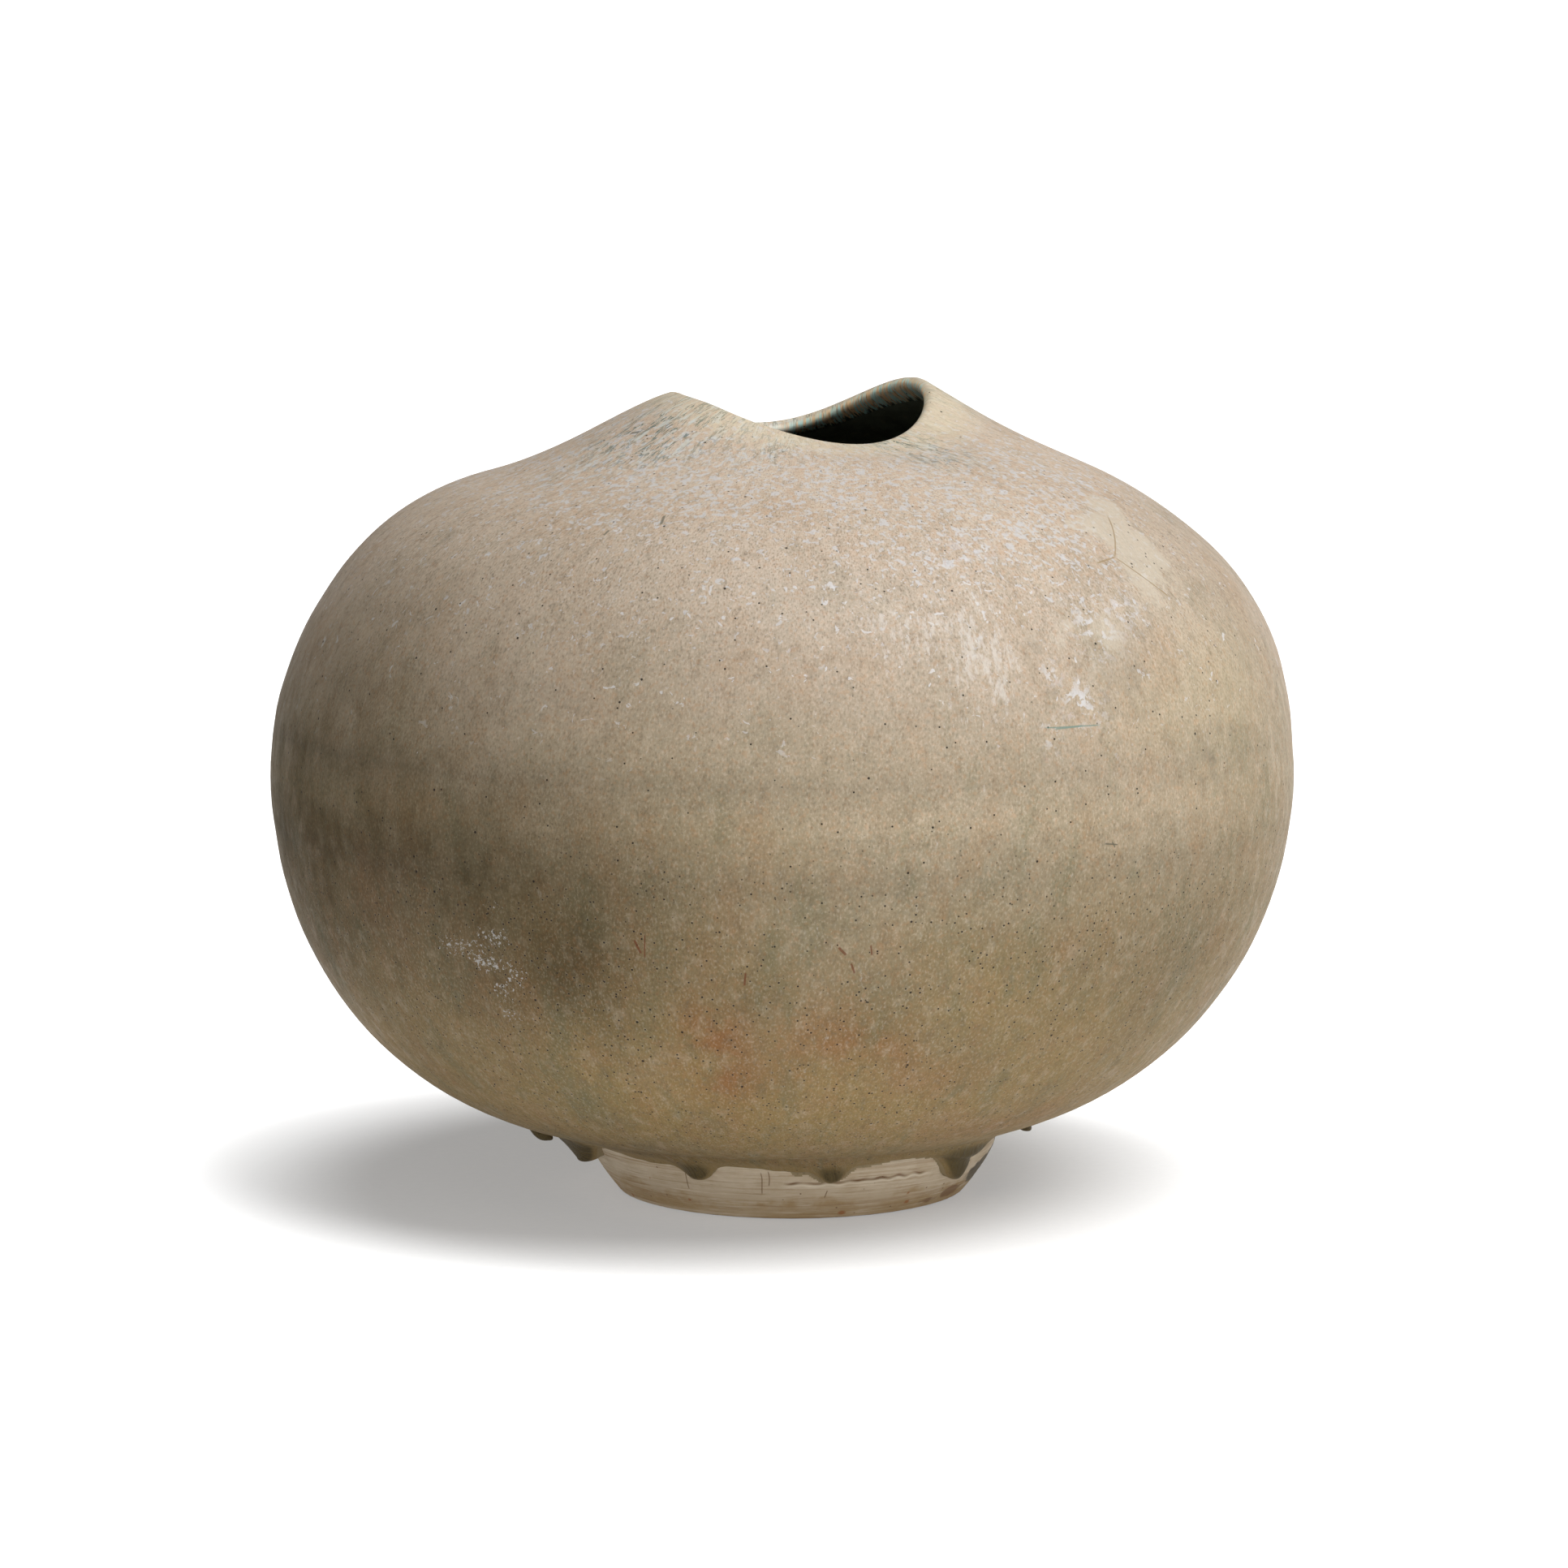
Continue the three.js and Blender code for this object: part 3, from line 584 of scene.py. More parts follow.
def skirt_profile(azimuth):
    """The lower glaze with its rolled edge, runs and beads: its profile, how thick its runs and beads are,
    and how far each point is from the edge."""
    along, path = skirt_path()
    edge, runs = edge_and_runs(azimuth, along, path)
    rows = along[:, None]
    sheet = EDGE_THICKNESS * (1 - smooth_step(rows, 3, 11))
    full = sheet + runs * (1 - 0.25 * smooth_step(rows, -6, 4))
    slant = np.gradient(edge, np.radians(azimuth) * RUN_RADIUS)
    inside = (rows - edge[None, :]) / np.sqrt(1 + slant[None, :] ** 2)
    roll = np.clip(inside / (0.6 + 0.8 * full), 0, 1)
    rolled = np.sqrt(1 - (1 - roll) ** 2)
    beads = bead_drop(path, azimuth)
    tuck = EDGE_TUCK * (1 - smooth_step(rows, 0, 8))
    profile = path[:, None, :] + outward_along(path, along)[:, None, :] * (full * rolled - tuck)[..., None]
    profile[..., 1] -= RUN_SAG * runs * rolled + beads
    return profile, np.maximum(runs * roll, beads), inside


def height_off_ring(azimuth, height, ring_height):
    """How far above a thrown ring a point is. The rings waver a little."""
    return height - ring_height - 0.8 * waves(azimuth, 0, 8)


def ring_bands(profile, azimuth):
    """How much darker or paler the glaze is along the thrown rings, from -1 to 1."""
    height = profile[..., 1]
    bands = 0
    for level, tall, strength in RING_BANDS:
        bands = bands + strength * bell(height_off_ring(azimuth, height, level), tall)
    share = 0.65 + 0.35 * np.cos(np.radians(azimuth - BANDS_STRONGEST_AT))
    return bands * share * (0.8 + 0.2 * waves(azimuth, 0, seed=9))


def uneven_body(azimuth, places):
    """The side of the body, let in a little where it is uneven and at the thrown rings."""
    body = side_points(azimuth, places, outside_depth)
    height = body[..., 1]
    let_in = 0.10 + 0.09 * waves(azimuth, height, seed=3, round_the_pot=5, per_mm=0.12)
    for level, depth, tall in THROWN_RINGS:
        let_in = let_in + depth * bell(height_off_ring(azimuth, height, level), tall)
    fade = smooth_step(places, SKIRT_TOP_PLACE, 0.5) * (1 - smooth_step(places, 2.6, 3))
    steps = np.gradient(body, axis=0)
    inward = np.stack([-steps[..., 1], steps[..., 0]], -1)
    inward /= np.linalg.norm(inward, axis=-1, keepdims=True)
    return body + inward * (np.clip(let_in, 0, 1) * fade[:, None])[..., None]


def lip_crest(azimuth, shares):
    """The rounded lip, from the outside over the crest to the inside."""
    turn = lip_slope_at(azimuth) - math.pi * shares[:, None]
    round_off = LIP_ROUND - LIP_INSET
    height = lip_height_at(azimuth) + round_off * np.cos(turn)
    return np.stack([MOUTH_RADIUS + round_off * np.sin(turn), height], -1)


def glaze_profile(azimuth):
    """The whole coat from its edge over the lip to the lining: its profile, how thick its runs are, how far
    each point is from the edge, and its place along the side."""
    skirt, pool, inside = skirt_profile(azimuth)
    body_places = np.linspace(SKIRT_TOP_PLACE, 3, BODY_ROWS + 1)[1:]
    lip_shares = np.linspace(0, 1, LIP_ROWS + 1)[1:]
    inner_places = np.array([2.97, 2.94, 2.91, 2.88])
    inner = side_points(azimuth, inner_places, wall_at)
    profile = np.concatenate([
        skirt, uneven_body(azimuth, body_places), lip_crest(azimuth, lip_shares), inner,
    ])
    above = len(profile) - len(skirt)
    pool = np.pad(pool, ((0, above), (0, 0)))
    inside = np.pad(inside, ((0, above), (0, 0)), constant_values=100)
    place = np.concatenate([np.zeros(len(skirt)), body_places, 3 + lip_shares, 7 - inner_places])
    return profile, pool, inside, np.broadcast_to(place[:, None], pool.shape)


def linear(red, green, blue):
    """A colour given as 0 to 255 in sRGB, for a shader."""
    channels = [c / 255 for c in (red, green, blue)]
    bent = [c / 12.92 if c <= 0.04045 else ((c + 0.055) / 1.055) ** 2.4 for c in channels]
    return (*bent, 1)


def seen(red, green, blue):
    """The glaze's own colour, for a colour as the photograph shows it in full light."""
    return (*(c * SEEN_TO_OWN for c in linear(red, green, blue)[:3]), 1)


class Look:
    """Short calls for a material's or world's nodes. A value is a number, a colour or a node's output, and
    the tone is the colour laid down so far."""

    def __init__(self, owner):
        owner.use_nodes = True
        self.owner = owner
        self.tree = owner.node_tree
        self.tone = (1, 1, 1, 1)

    def put(self, socket, value):
        if isinstance(value, bpy.types.NodeSocket):
            self.tree.links.new(value, socket)
        else:
            socket.default_value = value

    def node(self, kind, inputs, **settings):
        """A new node with these settings, and a value for each input by its name or number."""
        node = self.tree.nodes.new("ShaderNode" + kind)
        for name, setting in settings.items():
            setattr(node, name, setting)
        for key, value in inputs.items():
            self.put(node.inputs[key], value)
        return node

    def attribute(self, name, vector=False):
        return self.node("Attribute", {}, attribute_name=name).outputs["Vector" if vector else "Fac"]

    def place(self):
        return self.node("TexCoord", {}).outputs["Object"]

    def height(self):
        """Height above the table in millimetres."""
        return self.times(self.node("SeparateXYZ", {0: self.place()}).outputs["Z"], 1 / METRES_PER_MM)

    def stretch(self, vector, by, move=(0, 0, 0)):
        return self.node("Mapping", {"Vector": vector, "Scale": by, "Location": move}).outputs["Vector"]

    def noise(self, vector, scale=1.0, detail=3.0, rough=0.55, warp=0.0):
        inputs = {"Vector": vector, "Scale": scale, "Detail": detail, "Roughness": rough, "Distortion": warp}
        return self.node("TexNoise", inputs).outputs["Fac"]

    def drawn(self, vector, across, down, move=(0, 0, 0), **kind):
        """Noise with one scale across and another down, which draws it out along the smaller one."""
        return self.noise(self.stretch(vector, (across, across, down), move), **kind)

    def dots(self, vector, scale, share, radius_mm):
        """A mask of round dots. Scale sets how close they are, and share how many of them there are."""
        cells = self.node("TexVoronoi", {"Vector": vector, "Scale": scale})
        chance = self.node("SeparateColor", {0: cells.outputs["Color"]}).outputs[0]
        reach = radius_mm * METRES_PER_MM * scale
        dot = self.span(cells.outputs["Distance"], reach * 0.55, reach, 1, 0)
        return self.times(dot, self.calc("LESS_THAN", chance, share))

    def calc(self, operation, first, *others):
        for value in others:
            first = self.node("Math", {0: first, 1: value}, operation=operation).outputs[0]
        return first

    def times(self, *values):
        return self.calc("MULTIPLY", *values)

    def plus(self, *values):
        return self.calc("ADD", *values)

    def absolute(self, value):
        return self.node("Math", {0: value}, operation="ABSOLUTE").outputs[0]

    def span(self, value, low, high, to_low=0.0, to_high=1.0):
        """Maps a value smoothly from one range to another, held at the ends."""
        inputs = {"Value": value, "From Min": low, "From Max": high, "To Min": to_low, "To Max": to_high}
        return self.node("MapRange", inputs, interpolation_type="SMOOTHSTEP").outputs["Result"]

    def mix(self, share, first, second, blend="MIX"):
        # Inputs 6 and 7 of this node are its two colours.
        inputs = {0: share, 6: first, 7: second}
        return self.node("Mix", inputs, data_type="RGBA", blend_type=blend).outputs[2]

    def ramp(self, value, stops):
        """A colour that changes along stops of (position, colour)."""
        node = self.node("ValToRGB", {"Fac": value})
        points = node.color_ramp.elements
        while len(points) < len(stops):
            points.new(0.5)
        for point, (position, colour) in zip(points, stops):
            point.position = position
            point.color = colour
        return node.outputs["Color"]

    def line(self, unrolled_place, start, end, width, radius):
        """A mask for a fine straight line on the unrolled side, with width in mm."""
        mm_per_degree = math.radians(radius)
        a, b = (np.array([azimuth_gap(at, FRONT) * mm_per_degree, level]) for at, level in (start, end))
        middle = (a + b) / 2
        half = np.linalg.norm(b - a) / 2
        along = (b - a) / (2 * half)
        place = self.stretch(unrolled_place, (mm_per_degree, 1, 1))
        offset = self.node("VectorMath", {0: place, 1: (*middle, 0)}, operation="SUBTRACT").outputs[0]
        masks = []
        for direction, full, none in (
            ((along[0], along[1], 0), half * 0.8, half * 1.1),
            ((-along[1], along[0], 0), width * 0.4, width),
        ):
            dot = self.node("VectorMath", {0: offset, 1: direction}, operation="DOT_PRODUCT")
            masks.append(self.span(self.absolute(dot.outputs["Value"]), full, none, 1, 0))
        return self.times(*masks)

    def lay(self, share, colour, blend="MIX"):
        """Lays a colour over the tone, as strongly as share says."""
        self.tone = self.mix(share, self.tone, colour, blend)

    def tint(self, field, start, end, strength, colour, *masks):
        """Lays a colour where a field passes from start to end, and where the masks let it."""
        self.lay(self.times(self.span(field, start, end, 0, strength), *masks), colour)

    def mark(self, name, strength, colour):
        """Lays a colour where an attribute of the mesh says."""
        self.lay(self.times(self.attribute(name), strength), colour)

    def surface(self):
        return self.tree.nodes["Principled BSDF"].inputs

    def finish(self, roughness, bump, bump_mm, gloss=0.4):
        """Joins the surface up. The bump's height runs from 0 to 1 over bump_mm."""
        surface = self.surface()
        self.put(surface["Base Color"], self.tone)
        self.put(surface["Roughness"], roughness)
        surface["Specular IOR Level"].default_value = gloss
        relief = self.node("Bump", {"Distance": bump_mm * METRES_PER_MM, "Height": bump})
        self.put(surface["Normal"], relief.outputs["Normal"])
        return self.owner


def lay_ground(look, where, height):
    """Broad tone of the glaze: pinkish cream on the shoulder, tan at the belly, khaki below."""
    drift = look.span(look.noise(where, 14, detail=4), 0.3, 0.7, -14, 14)
    level = look.calc("DIVIDE", look.plus(height, drift, -TONES_FROM), TONES_TO - TONES_FROM)
    look.tone = look.ramp(level, [
        (0, seen(180, 150, 92)), (0.14, seen(182, 154, 99)), (0.34, seen(170, 149, 110)),
        (0.5, seen(185, 168, 139)), (0.7, seen(204, 186, 163)), (0.92, seen(232, 214, 192)),
    ])
    look.mark("yellow", 0.6, seen(212, 195, 158))
    blotch = look.noise(where, 34, detail=4, rough=0.6)
    look.tint(blotch, 0.5, 0.72, 0.3, seen(198, 166, 130))
    look.tint(blotch, 0.48, 0.28, 0.28, seen(150, 142, 114))


def lay_low_patches(look, where, flow):
    """Olive, rust and teal patches low on the body."""
    streak = look.drawn(flow, 100, 18, detail=4, rough=0.6)
    patch = look.noise(where, 60, detail=4, rough=0.6)
    look.mark("olive", look.span(streak, 0.3, 0.65, 0.4, 0.8), seen(112, 92, 52))
    look.mark("rust", look.span(patch, 0.3, 0.6, 0.15, 0.8), seen(176, 114, 62))
    look.mark("teal", look.span(streak, 0.42, 0.66, 0, 0.5), seen(120, 126, 98))


def lay_grain(look, where, flow, height):
    """Clouds of rust and grey-green, and a mottle and a fine grain, which it returns."""
    cloud = look.drawn(flow, 110, 34, detail=4, rough=0.65)
    low_down = look.span(height, 110, 200, 1, 0.3)
    look.tint(cloud, 0.5, 0.68, 0.3, seen(182, 138, 92), low_down)
    look.tint(cloud, 0.48, 0.32, 0.38, seen(130, 130, 96), low_down)
    mottle = look.drawn(flow, 280, 150, detail=2, rough=0.6)
    look.tint(mottle, 0.52, 0.72, 0.28, seen(142, 122, 96))
    look.tint(mottle, 0.46, 0.28, 0.24, seen(232, 212, 184))
    grain = look.drawn(flow, 1800, 900, detail=1, rough=0.6)
    high_up = look.span(height, 185, 240, 0.55, 0.85)
    look.tint(grain, 0.5, 0.74, 0.62, seen(112, 92, 70), high_up)
    look.tint(grain, 0.48, 0.26, 0.5, seen(250, 232, 208), high_up)
    fleck = look.noise(where, 640, detail=1)
    look.tint(fleck, 0.58, 0.68, 0.22, seen(206, 152, 104))
    look.tint(fleck, 0.42, 0.32, 0.16, seen(156, 160, 146))
    return mottle, grain


def lay_crystals(look, where, height):
    """Pale bluish crystals on the shoulder, with a warmer ground between them, and a few on their own."""
    amount = look.attribute("crystals")
    fine = look.noise(where, 430, detail=2, rough=0.5, warp=0.7)
    look.tint(fine, 0.47, 0.36, 0.32, seen(222, 184, 150), look.span(amount, 0.1, 0.8))
    close = look.plus(fine, look.times(amount, 0.12))
    look.tint(close, 0.645, 0.7, 0.62, seen(228, 230, 232), look.span(height, 176, 225))
    lone = look.drawn(where, 240, 240, (0.2, 0.4, 0), rough=0.6, warp=0.8)
    look.tint(lone, 0.655, 0.69, 0.75, seen(238, 236, 234), look.span(height, 150, 200))


def lay_chalk(look, where, flow):
    """Chalky streaks, cream patches, white flecks and grey dust."""
    streaked = look.attribute("pale")
    area = look.drawn(flow, 110, 50, (0, 0.7, 0), rough=0.6)
    chalk = look.drawn(flow, 620, 210, (0, 0.7, 0), detail=4, rough=0.7)
    pale = look.plus(look.times(chalk, 0.65), look.times(area, 0.35), look.times(streaked, 0.15))
    look.tint(pale, 0.6, 0.72, 0.6, seen(236, 228, 217))
    look.tint(chalk, 0.44, 0.34, 0.3, seen(170, 146, 116), streaked)
    patch = look.noise(where, 60, detail=4, rough=0.6)
    cream = look.plus(look.attribute("cream"), look.span(patch, 0.3, 0.7, -0.3, 0.3))
    look.tint(cream, 0.4, 0.7, 0.6, seen(230, 218, 196))
    white = look.noise(where, 330, rough=0.65)
    look.mark("white", look.span(white, 0.5, 0.58, 0, 0.9), seen(240, 240, 242))
    dust = look.noise(where, 120)
    look.mark("dust", look.span(dust, 0.46, 0.6, 0, 0.5), seen(136, 126, 108))


def lay_broad_shades(look, where, height):
    """Painted shade on the side away from the lights, the bands at the thrown rings, and painted shade that
    darkens the top. Returns the painted side shade.
    """
    patchy = look.span(look.noise(where, 26, detail=4, rough=0.6), 0.3, 0.7, 0.8, 1.12)
    # Painted shade: the side away from the lights is darker and browner, in uneven patches.
    painted_side_shade = look.times(look.attribute("painted_side_shade"), patchy)
    bands = look.attribute("bands")
    look.lay(painted_side_shade, PAINTED_SHADE_LEAVES, "MULTIPLY")
    look.lay(look.span(bands, 0, -1), DARK_BAND_LEAVES, "MULTIPLY")
    look.lay(look.span(bands, 0, 1), PALE_BAND_LEAVES, "MULTIPLY")
    # Painted shade: the top is darker, against the light from above.
    look.lay(look.span(height, 145, 240), TOP_PAINTED_SHADE_LEAVES, "MULTIPLY")
    return painted_side_shade


def lay_scuffs(look, where):
    """Small white scuffs on the dark side, as if it had been rubbed."""
    ragged = look.noise(where, 800, rough=0.7)
    rubbed = look.plus(look.times(look.attribute("scuffs"), 0.3), ragged)
    look.tint(rubbed, 0.72, 0.8, 0.9, seen(210, 206, 200))


def lay_mouth(look, flow):
    """Round the mouth the glaze is thin and veined, and over the lip it breaks to brown and teal, with a
    painted highlight on the far rim. Returns the place along the side, made a little uneven."""
    place = look.attribute("place")
    vein = look.drawn(flow, 210, 90, (0.3, 0, 0), detail=4, rough=0.6, warp=1.2)
    rim = look.times(look.span(place, 2.62, 2.95), look.span(vein, 0.4, 0.5, 0.15, 0.5))
    look.lay(rim, seen(226, 212, 180))
    veined = look.attribute("veins")
    look.tint(vein, 0.55, 0.6, 0.6, seen(196, 208, 204), veined)
    broken = look.span(look.drawn(flow, 160, 90, (0, 0.3, 0), detail=2), 0.42, 0.52)
    off_vein = look.absolute(look.plus(vein, -0.52))
    look.tint(off_vein, 0.045, 0.015, 0.95, seen(72, 98, 92), broken, veined)

    mottle = look.drawn(flow, 420, 160, rough=0.6)
    inward = look.plus(place, look.span(mottle, 0.3, 0.7, -0.05, 0.05))
    mouth = look.mix(look.span(vein, 0.42, 0.58), linear(218, 182, 138), linear(176, 208, 200))
    mouth = look.mix(look.span(mottle, 0.52, 0.62, 0, 0.6), mouth, linear(120, 92, 64))
    # Painted highlight on the far rim, inside the mouth.
    mouth = look.mix(look.attribute("painted_lip_highlight"), mouth, linear(236, 236, 224))
    look.tint(inward, 3.3, 3.6, 0.9, mouth)
    look.tint(inward, 4.04, 4.11, 1, linear(66, 72, 62))
    return inward


def lay_pits(look, where, height):
    """Pinholes with a faint light rim, closer together low on the body. Returns their mask."""
    low_down = look.span(height, 110, 170, 1, 0)
    few = look.dots(look.stretch(where, (1, 1, 1), (0.3, 0.1, 0)), 400, 0.14, 0.42)
    many = look.times(look.dots(where, 430, 0.7, 0.42), low_down)
    large = look.dots(look.stretch(where, (1, 1, 1), (0.1, 0.2, 0)), 150, 0.3, 0.55)
    rims = look.times(look.dots(where, 430, 0.7, 0.8), low_down)
    look.lay(look.times(rims, 0.1), seen(210, 190, 158))
    pits = look.calc("MAXIMUM", few, many, large)
    look.lay(look.times(pits, 0.95), seen(44, 34, 26))
    return pits


def lay_fine_lines(look):
    colours = {
        "crack": seen(158, 134, 98),
        "rust": seen(126, 70, 40),
        "teal": seen(130, 152, 140),
        "dark": seen(104, 100, 84),
    }
    unrolled_place = look.attribute("unrolled", vector=True)
    for start, end, width, colour in FINE_LINES:
        radius = side_radius_at((start[1] + end[1]) / 2)
        line = look.line(unrolled_place, start, end, width, radius)
        look.lay(look.times(line, 0.8), colours[colour])


def lay_runs(look, flow):
    """Runs and beads are darker, with flutes down them, the band just above the edge is painted paler against
    the shade under the body, and the edge has a thin pale rim. Returns a mask of the runs, and their flutes."""
    pool = look.attribute("pool")
    inside = look.attribute("inside")
    flutes = look.drawn(flow, 900, 40, rough=0.6)
    thick = look.span(pool, 0.8, 2.4)
    # Painted light: the band just above the edge, which lies in the body's shade, is made paler.
    look.tint(inside, 10, 2, 0.6, seen(198, 170, 118))
    look.tint(pool, 0.5, 2.2, 0.85, seen(118, 102, 64))
    look.tint(flutes, 0.5, 0.68, 0.45, seen(72, 60, 38), thick)
    look.tint(inside, 0.9, 0.5, 0.5, seen(220, 202, 166), look.span(pool, 0.5, 1.2, 1, 0.2))
    return thick, flutes


def glaze_material():
    look = Look(bpy.data.materials.new("mottled glaze"))
    where = look.place()
    height = look.height()
    flow = look.attribute("flow", vector=True)
    lay_ground(look, where, height)
    lay_low_patches(look, where, flow)
    mottle, grain = lay_grain(look, where, flow, height)
    lay_crystals(look, where, height)
    lay_chalk(look, where, flow)
    painted_side_shade = lay_broad_shades(look, where, height)
    lay_scuffs(look, where)
    inward = lay_mouth(look, flow)
    pits = lay_pits(look, where, height)
    lay_fine_lines(look)
    thick, flutes = lay_runs(look, flow)

    fluted = look.times(thick, look.span(flutes, 0.35, 0.65, 0, 1.5))
    relief = look.plus(look.times(grain, 0.5), look.times(mottle, 0.5), look.times(pits, -1.2), fluted)
    # Rougher where the painted side shade lies, and glossier on the runs and over the lip.
    rough = look.plus(look.span(mottle, 0.3, 0.7, 0.5, 0.64), look.times(painted_side_shade, 0.25))
    rough = look.plus(rough, look.times(thick, -0.14), look.span(inward, 3.5, 3.9, 0, -0.25))
    return look.finish(rough, relief, 0.12, gloss=0.14)


def lining_material():
    look = Look(bpy.data.materials.new("dark lining"))
    where = look.place()
    streak = look.drawn(where, 90, 30, detail=4)
    look.tone = look.mix(look.span(streak, 0.35, 0.65), linear(74, 76, 62), linear(104, 108, 92))
    look.tint(look.noise(where, 300), 0.55, 0.7, 0.4, linear(122, 112, 86))
    return look.finish(look.span(streak, 0.3, 0.7, 0.3, 0.45), look.noise(where, 500), 0.15)


def slip_material():
    look = Look(bpy.data.materials.new("brushed slip"))
    where = look.place()
    lines = look.drawn(where, 14, 900, detail=4, rough=0.65)
    scratches = look.drawn(where, 60, 1600, (0.1, 0, 0), rough=0.6)
    broad = look.drawn(where, 30, 260)
    patch = look.noise(where, 110, detail=4, rough=0.6)
    worn = look.span(look.plus(look.height(), look.span(patch, 0.3, 0.7, -4, 4)), 3, 12, 1, 0)
    look.tone = look.mix(look.span(patch, 0.3, 0.7), linear(204, 189, 166), linear(188, 170, 143))
    look.lay(look.times(worn, look.span(broad, 0.35, 0.6, 0.5, 0.95)), linear(166, 140, 102))
    look.tint(lines, 0.5, 0.64, 0.4, linear(158, 130, 98))
    look.tint(lines, 0.45, 0.34, 0.35, linear(220, 206, 184))
    look.tint(scratches, 0.56, 0.66, 0.4, linear(142, 112, 80))
    look.tint(scratches, 0.42, 0.34, 0.3, linear(222, 210, 190))
    look.lay(look.times(look.dots(where, 330, 0.3, 0.45), 0.75), linear(92, 66, 44))
    look.mark("rusty", 0.75, linear(150, 92, 48))
    look.mark("bare", 0.8, linear(130, 100, 72))
    look.mark("ledge_lip", 0.6, linear(228, 217, 196))
    look.mark("crack", 0.85, linear(112, 78, 46))
    stain = look.attribute("stain")
    wetted = look.mix(look.span(scratches, 0.4, 0.6), seen(122, 106, 78), seen(156, 138, 104))
    look.lay(stain, wetted)
    unrolled_place = look.attribute("unrolled", vector=True)
    for azimuth, low, high in HAIR_CRACKS:
        top = (azimuth + HAIR_CRACK_SLANT, high)
        crack = look.line(unrolled_place, (azimuth, low), top, HAIR_CRACK_WIDTH, HAIR_CRACK_RADIUS)
        look.lay(look.times(crack, 0.7), linear(110, 82, 56))
    relief = look.plus(
        look.times(lines, 0.8), look.times(scratches, 0.5), look.times(look.noise(where, 900), 0.4)
    )
    return look.finish(look.span(stain, 0, 1, 0.85, 0.55), relief, 0.35, gloss=0.25)


def clay_material():
    look = Look(bpy.data.materials.new("fired clay"))
    where = look.place()
    grit = look.noise(where, 500, detail=4, rough=0.7)
    look.tone = look.mix(look.span(grit, 0.35, 0.65), linear(116, 96, 74), linear(140, 120, 96))
    look.tint(look.noise(where, 40), 0.4, 0.65, 0.6, linear(106, 80, 56))
    return look.finish(look.span(grit, 0.3, 0.7, 0.8, 0.95), grit, 0.3, gloss=0.25)


def paper_material():
    """Lit paper that also glows, as painted light: less under the pot than round it, so that its shadow stays
    close to the pot.
    """
    look = Look(bpy.data.materials.new("lit paper"))
    where = look.place()
    fibre = look.noise(where, 300)
    look.tone = look.mix(look.span(fibre, 0.3, 0.7), linear(178, 178, 178), linear(180, 180, 180))
    distance = look.node("VectorMath", {0: where}, operation="LENGTH").outputs["Value"]
    rise = [reach * METRES_PER_MM for reach in GLOW_RISE]
    fall = [reach * METRES_PER_MM for reach in GLOW_FALL]
    glow = look.plus(
        look.span(distance, *rise, FLOOR_GLOW, FLOOR_GLOW_RING),
        look.span(distance, *fall, 0, FLOOR_GLOW_FAR - FLOOR_GLOW_RING),
    )
    look.surface()["Emission Color"].default_value = (1, 1, 1, 1)
    look.put(look.surface()["Emission Strength"], glow)
    return look.finish(0.9, fibre, 0.02, gloss=0.0)


def build_glaze():
    azimuth = glaze_columns()
    profile, pool, inside, place = glaze_profile(azimuth)
    attributes = {
        "flow": flow_coordinates(profile, azimuth),
        "unrolled": unrolled(profile, azimuth),
        "place": place,
        "pool": pool,
        "inside": np.clip(inside, 0, 12),
        "bands": ring_bands(profile, azimuth),
    }
    for key, table in GLAZE_MARKS.items():
        attributes[key] = blobs(profile, azimuth, table)
    points = turn_round(profile, azimuth)
    piece = make_mesh("glaze_coat", points, attributes, glaze_material(), kept=inside > -EDGE_MARGIN)
    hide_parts("outer_glaze", *[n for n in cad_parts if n.startswith("glaze_run")])
    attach(piece, "root")


def lining_depth(place):
    """The lining lies inside the CAD lining, whose broad facets cut across the curve."""
    return wall_at(place) + float(np.interp(place, *zip(*LINING_INSETS)))


def build_lining():
    azimuth = np.linspace(0, 360, LINING_COLUMNS, endpoint=False)
    wall = side_points(azimuth, np.linspace(0, LINING_TOP_PLACE, 70), lining_depth)
    start = wall[0]
    floor_height = start[:, 1] - start[:, 0] / 2 * math.tan(math.radians(UNDERSIDE_SLOPE))
    corners = np.stack([
        start,
        np.stack([start[:, 0] / 2, floor_height], -1),
        np.stack([np.full(len(azimuth), 0.01), floor_height], -1),
    ], -2)
    floor = np.array([bezier(corners, share) for share in np.linspace(1, 0, 12)[:-1]])
    points = turn_round(np.concatenate([floor, wall]), azimuth)[::-1]
    piece = make_mesh("dark_lining", points, {}, lining_material())
    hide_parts("inner_glaze")
    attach(piece, "root")


def ledge(azimuth, heights):
    """The ledge where the slip has cracked and its upper layer is lost: how far each point is in the lost
    layer, in the open crack, and on the curled lip below it."""
    line = LEDGE_HEIGHT + LEDGE_RISE * (azimuth - LEDGE_FROM) / (LEDGE_TO - LEDGE_FROM)
    line = line + 0.4 * waves(azimuth, 0, seed=14, round_the_pot=90)
    along = smooth_step(azimuth, LEDGE_FROM - 3, LEDGE_FROM + 2)
    along = along * (1 - smooth_step(azimuth, LEDGE_TO - 2, LEDGE_TO + 3))
    lost = smooth_step(heights, line - 0.25, line + 0.25) * along
    crack = bell(heights - line, 0.4) * along * (0.55 + 0.45 * waves(azimuth, 0, seed=15, round_the_pot=60))
    lip = bell(heights - line + 0.95, 0.45) * along
    return lost, crack, lip


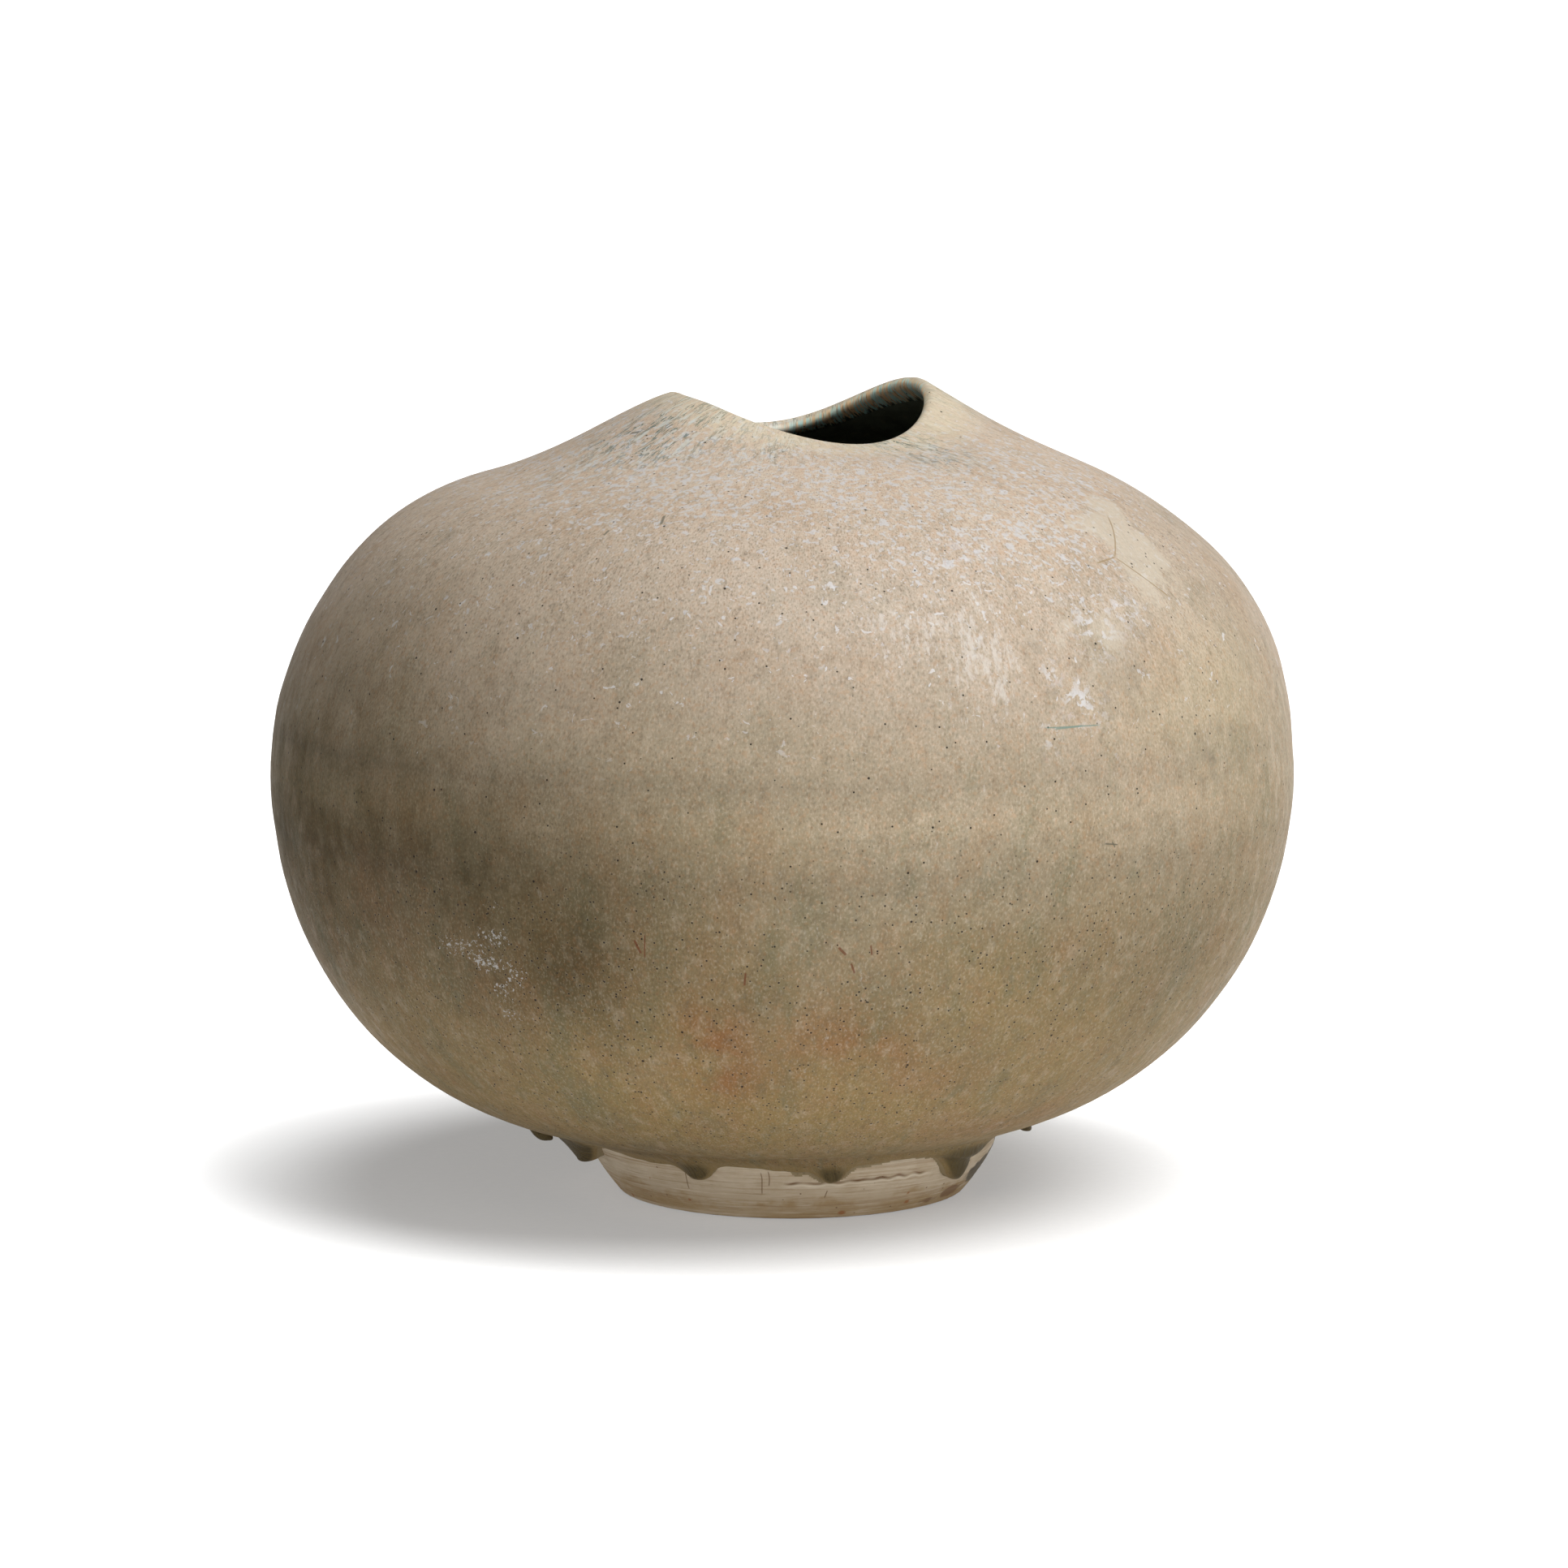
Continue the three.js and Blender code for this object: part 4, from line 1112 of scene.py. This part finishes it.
def build_slip():
    azimuth = np.linspace(0, 360, SLIP_COLUMNS, endpoint=False)
    heights = np.linspace(SLIP_BOTTOM_HEIGHT - 0.9, SLIP_TOP_HEIGHT + 3.6, SLIP_ROWS)[:, None]
    profile = np.stack(np.broadcast_arrays(foot_radius_at(heights), heights + 0 * azimuth), -1).copy()

    # Turned rings and brush marks.
    draw = np.random.default_rng(21)
    rings = np.interp(heights, np.linspace(0, 24, 49), draw.uniform(0, 1, 49))
    rings = rings * (0.6 + 0.4 * waves(azimuth, heights, seed=30, round_the_pot=9, per_mm=0.4))
    rough = waves(azimuth, heights, seed=12, count=24, round_the_pot=120, per_mm=1.1)

    lost, crack, lip = ledge(azimuth, heights)
    bare = blobs(profile, azimuth, BARE_PATCHES)
    sunk = 0.03 + 0.16 * rings + 0.05 * (rough + 1)
    sunk = sunk + 0.35 * lost + 0.5 * crack + 0.35 * smooth_step(bare, 0.35, 0.5)
    profile[..., 0] -= np.clip(sunk, *SLIP_SUNK)
    attributes = {
        "bare": smooth_step(bare + 0.08 * rough, 0.35, 0.5),
        "crack": np.clip(1.3 * crack, 0, 1),
        "ledge_lip": lip,
        "rusty": smooth_step(blobs(profile, azimuth, RUST_SPOTS), 0.3, 0.6),
        "unrolled": unrolled(profile, azimuth),
        "stain": smooth_step(blobs(profile, azimuth, STAINS) + 0.05 * rough, 0.34, 0.48),
    }
    piece = make_mesh("foot_slip_skin", turn_round(profile, azimuth), attributes, slip_material())
    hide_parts("foot_slip")
    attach(piece, "root")


def dress_clay():
    """The clay pieces keep their CAD meshes, in a material of their own."""
    clay = clay_material()
    for node in ("foot_ring", "lower_bowl", "upper_dome"):
        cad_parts[node].data.materials.clear()
        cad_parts[node].data.materials.append(clay)


def build_floor():
    half = FLOOR_HALF_WIDTH * METRES_PER_MM
    corners = [(-half, -half, 0), (half, -half, 0), (half, half, 0), (-half, half, 0)]
    mesh = bpy.data.meshes.new("floor")
    mesh.from_pydata(corners, [], [(0, 1, 2, 3)])
    mesh.materials.append(paper_material())
    floor = add_object("floor", mesh)


def build_surround():
    """A surround that is bright only near the horizon, so that it shows but gives little light."""
    world = bpy.data.worlds.new("studio")
    look = Look(world)
    direction = look.node("TexCoord", {}).outputs["Generated"]
    up = look.node("SeparateXYZ", {0: direction}).outputs["Z"]
    background = look.tree.nodes["Background"].inputs
    look.put(background["Strength"], look.span(up, *HORIZON_FADE, HORIZON, OVERHEAD))
    background["Color"].default_value = (1, 1, 1, 1)
    bpy.context.scene.world = world


def build_lights():
    for name, (strength, azimuth, elevation, spread) in LIGHTS.items():
        light = bpy.data.lights.new(name, "SUN")
        light.energy = strength
        light.angle = math.radians(spread)
        lamp = add_object(name, light)
        lamp.rotation_euler = (math.radians(90 - elevation), 0, math.radians(azimuth + 90))


def build_camera():
    camera = bpy.data.cameras.new("camera")
    camera.sensor_width = SENSOR
    camera.lens = FOCAL_PIXELS / PHOTO_SIDE * SENSOR
    camera.clip_start = 0.1
    camera.clip_end = 200
    holder = add_object("camera", camera)
    holder.location = [c * METRES_PER_MM for c in (CAMERA_RIGHT, -CAMERA_DISTANCE, CAMERA_HEIGHT)]
    holder.rotation_euler = (math.radians(90 - CAMERA_PITCH), 0, 0)
    bpy.context.scene.camera = holder
    bpy.context.scene.view_settings.view_transform = "Standard"
    bpy.context.scene.view_settings.look = "None"


build_camera()
build_floor()
build_surround()
build_lights()
build_glaze()
build_lining()
build_slip()
dress_clay()
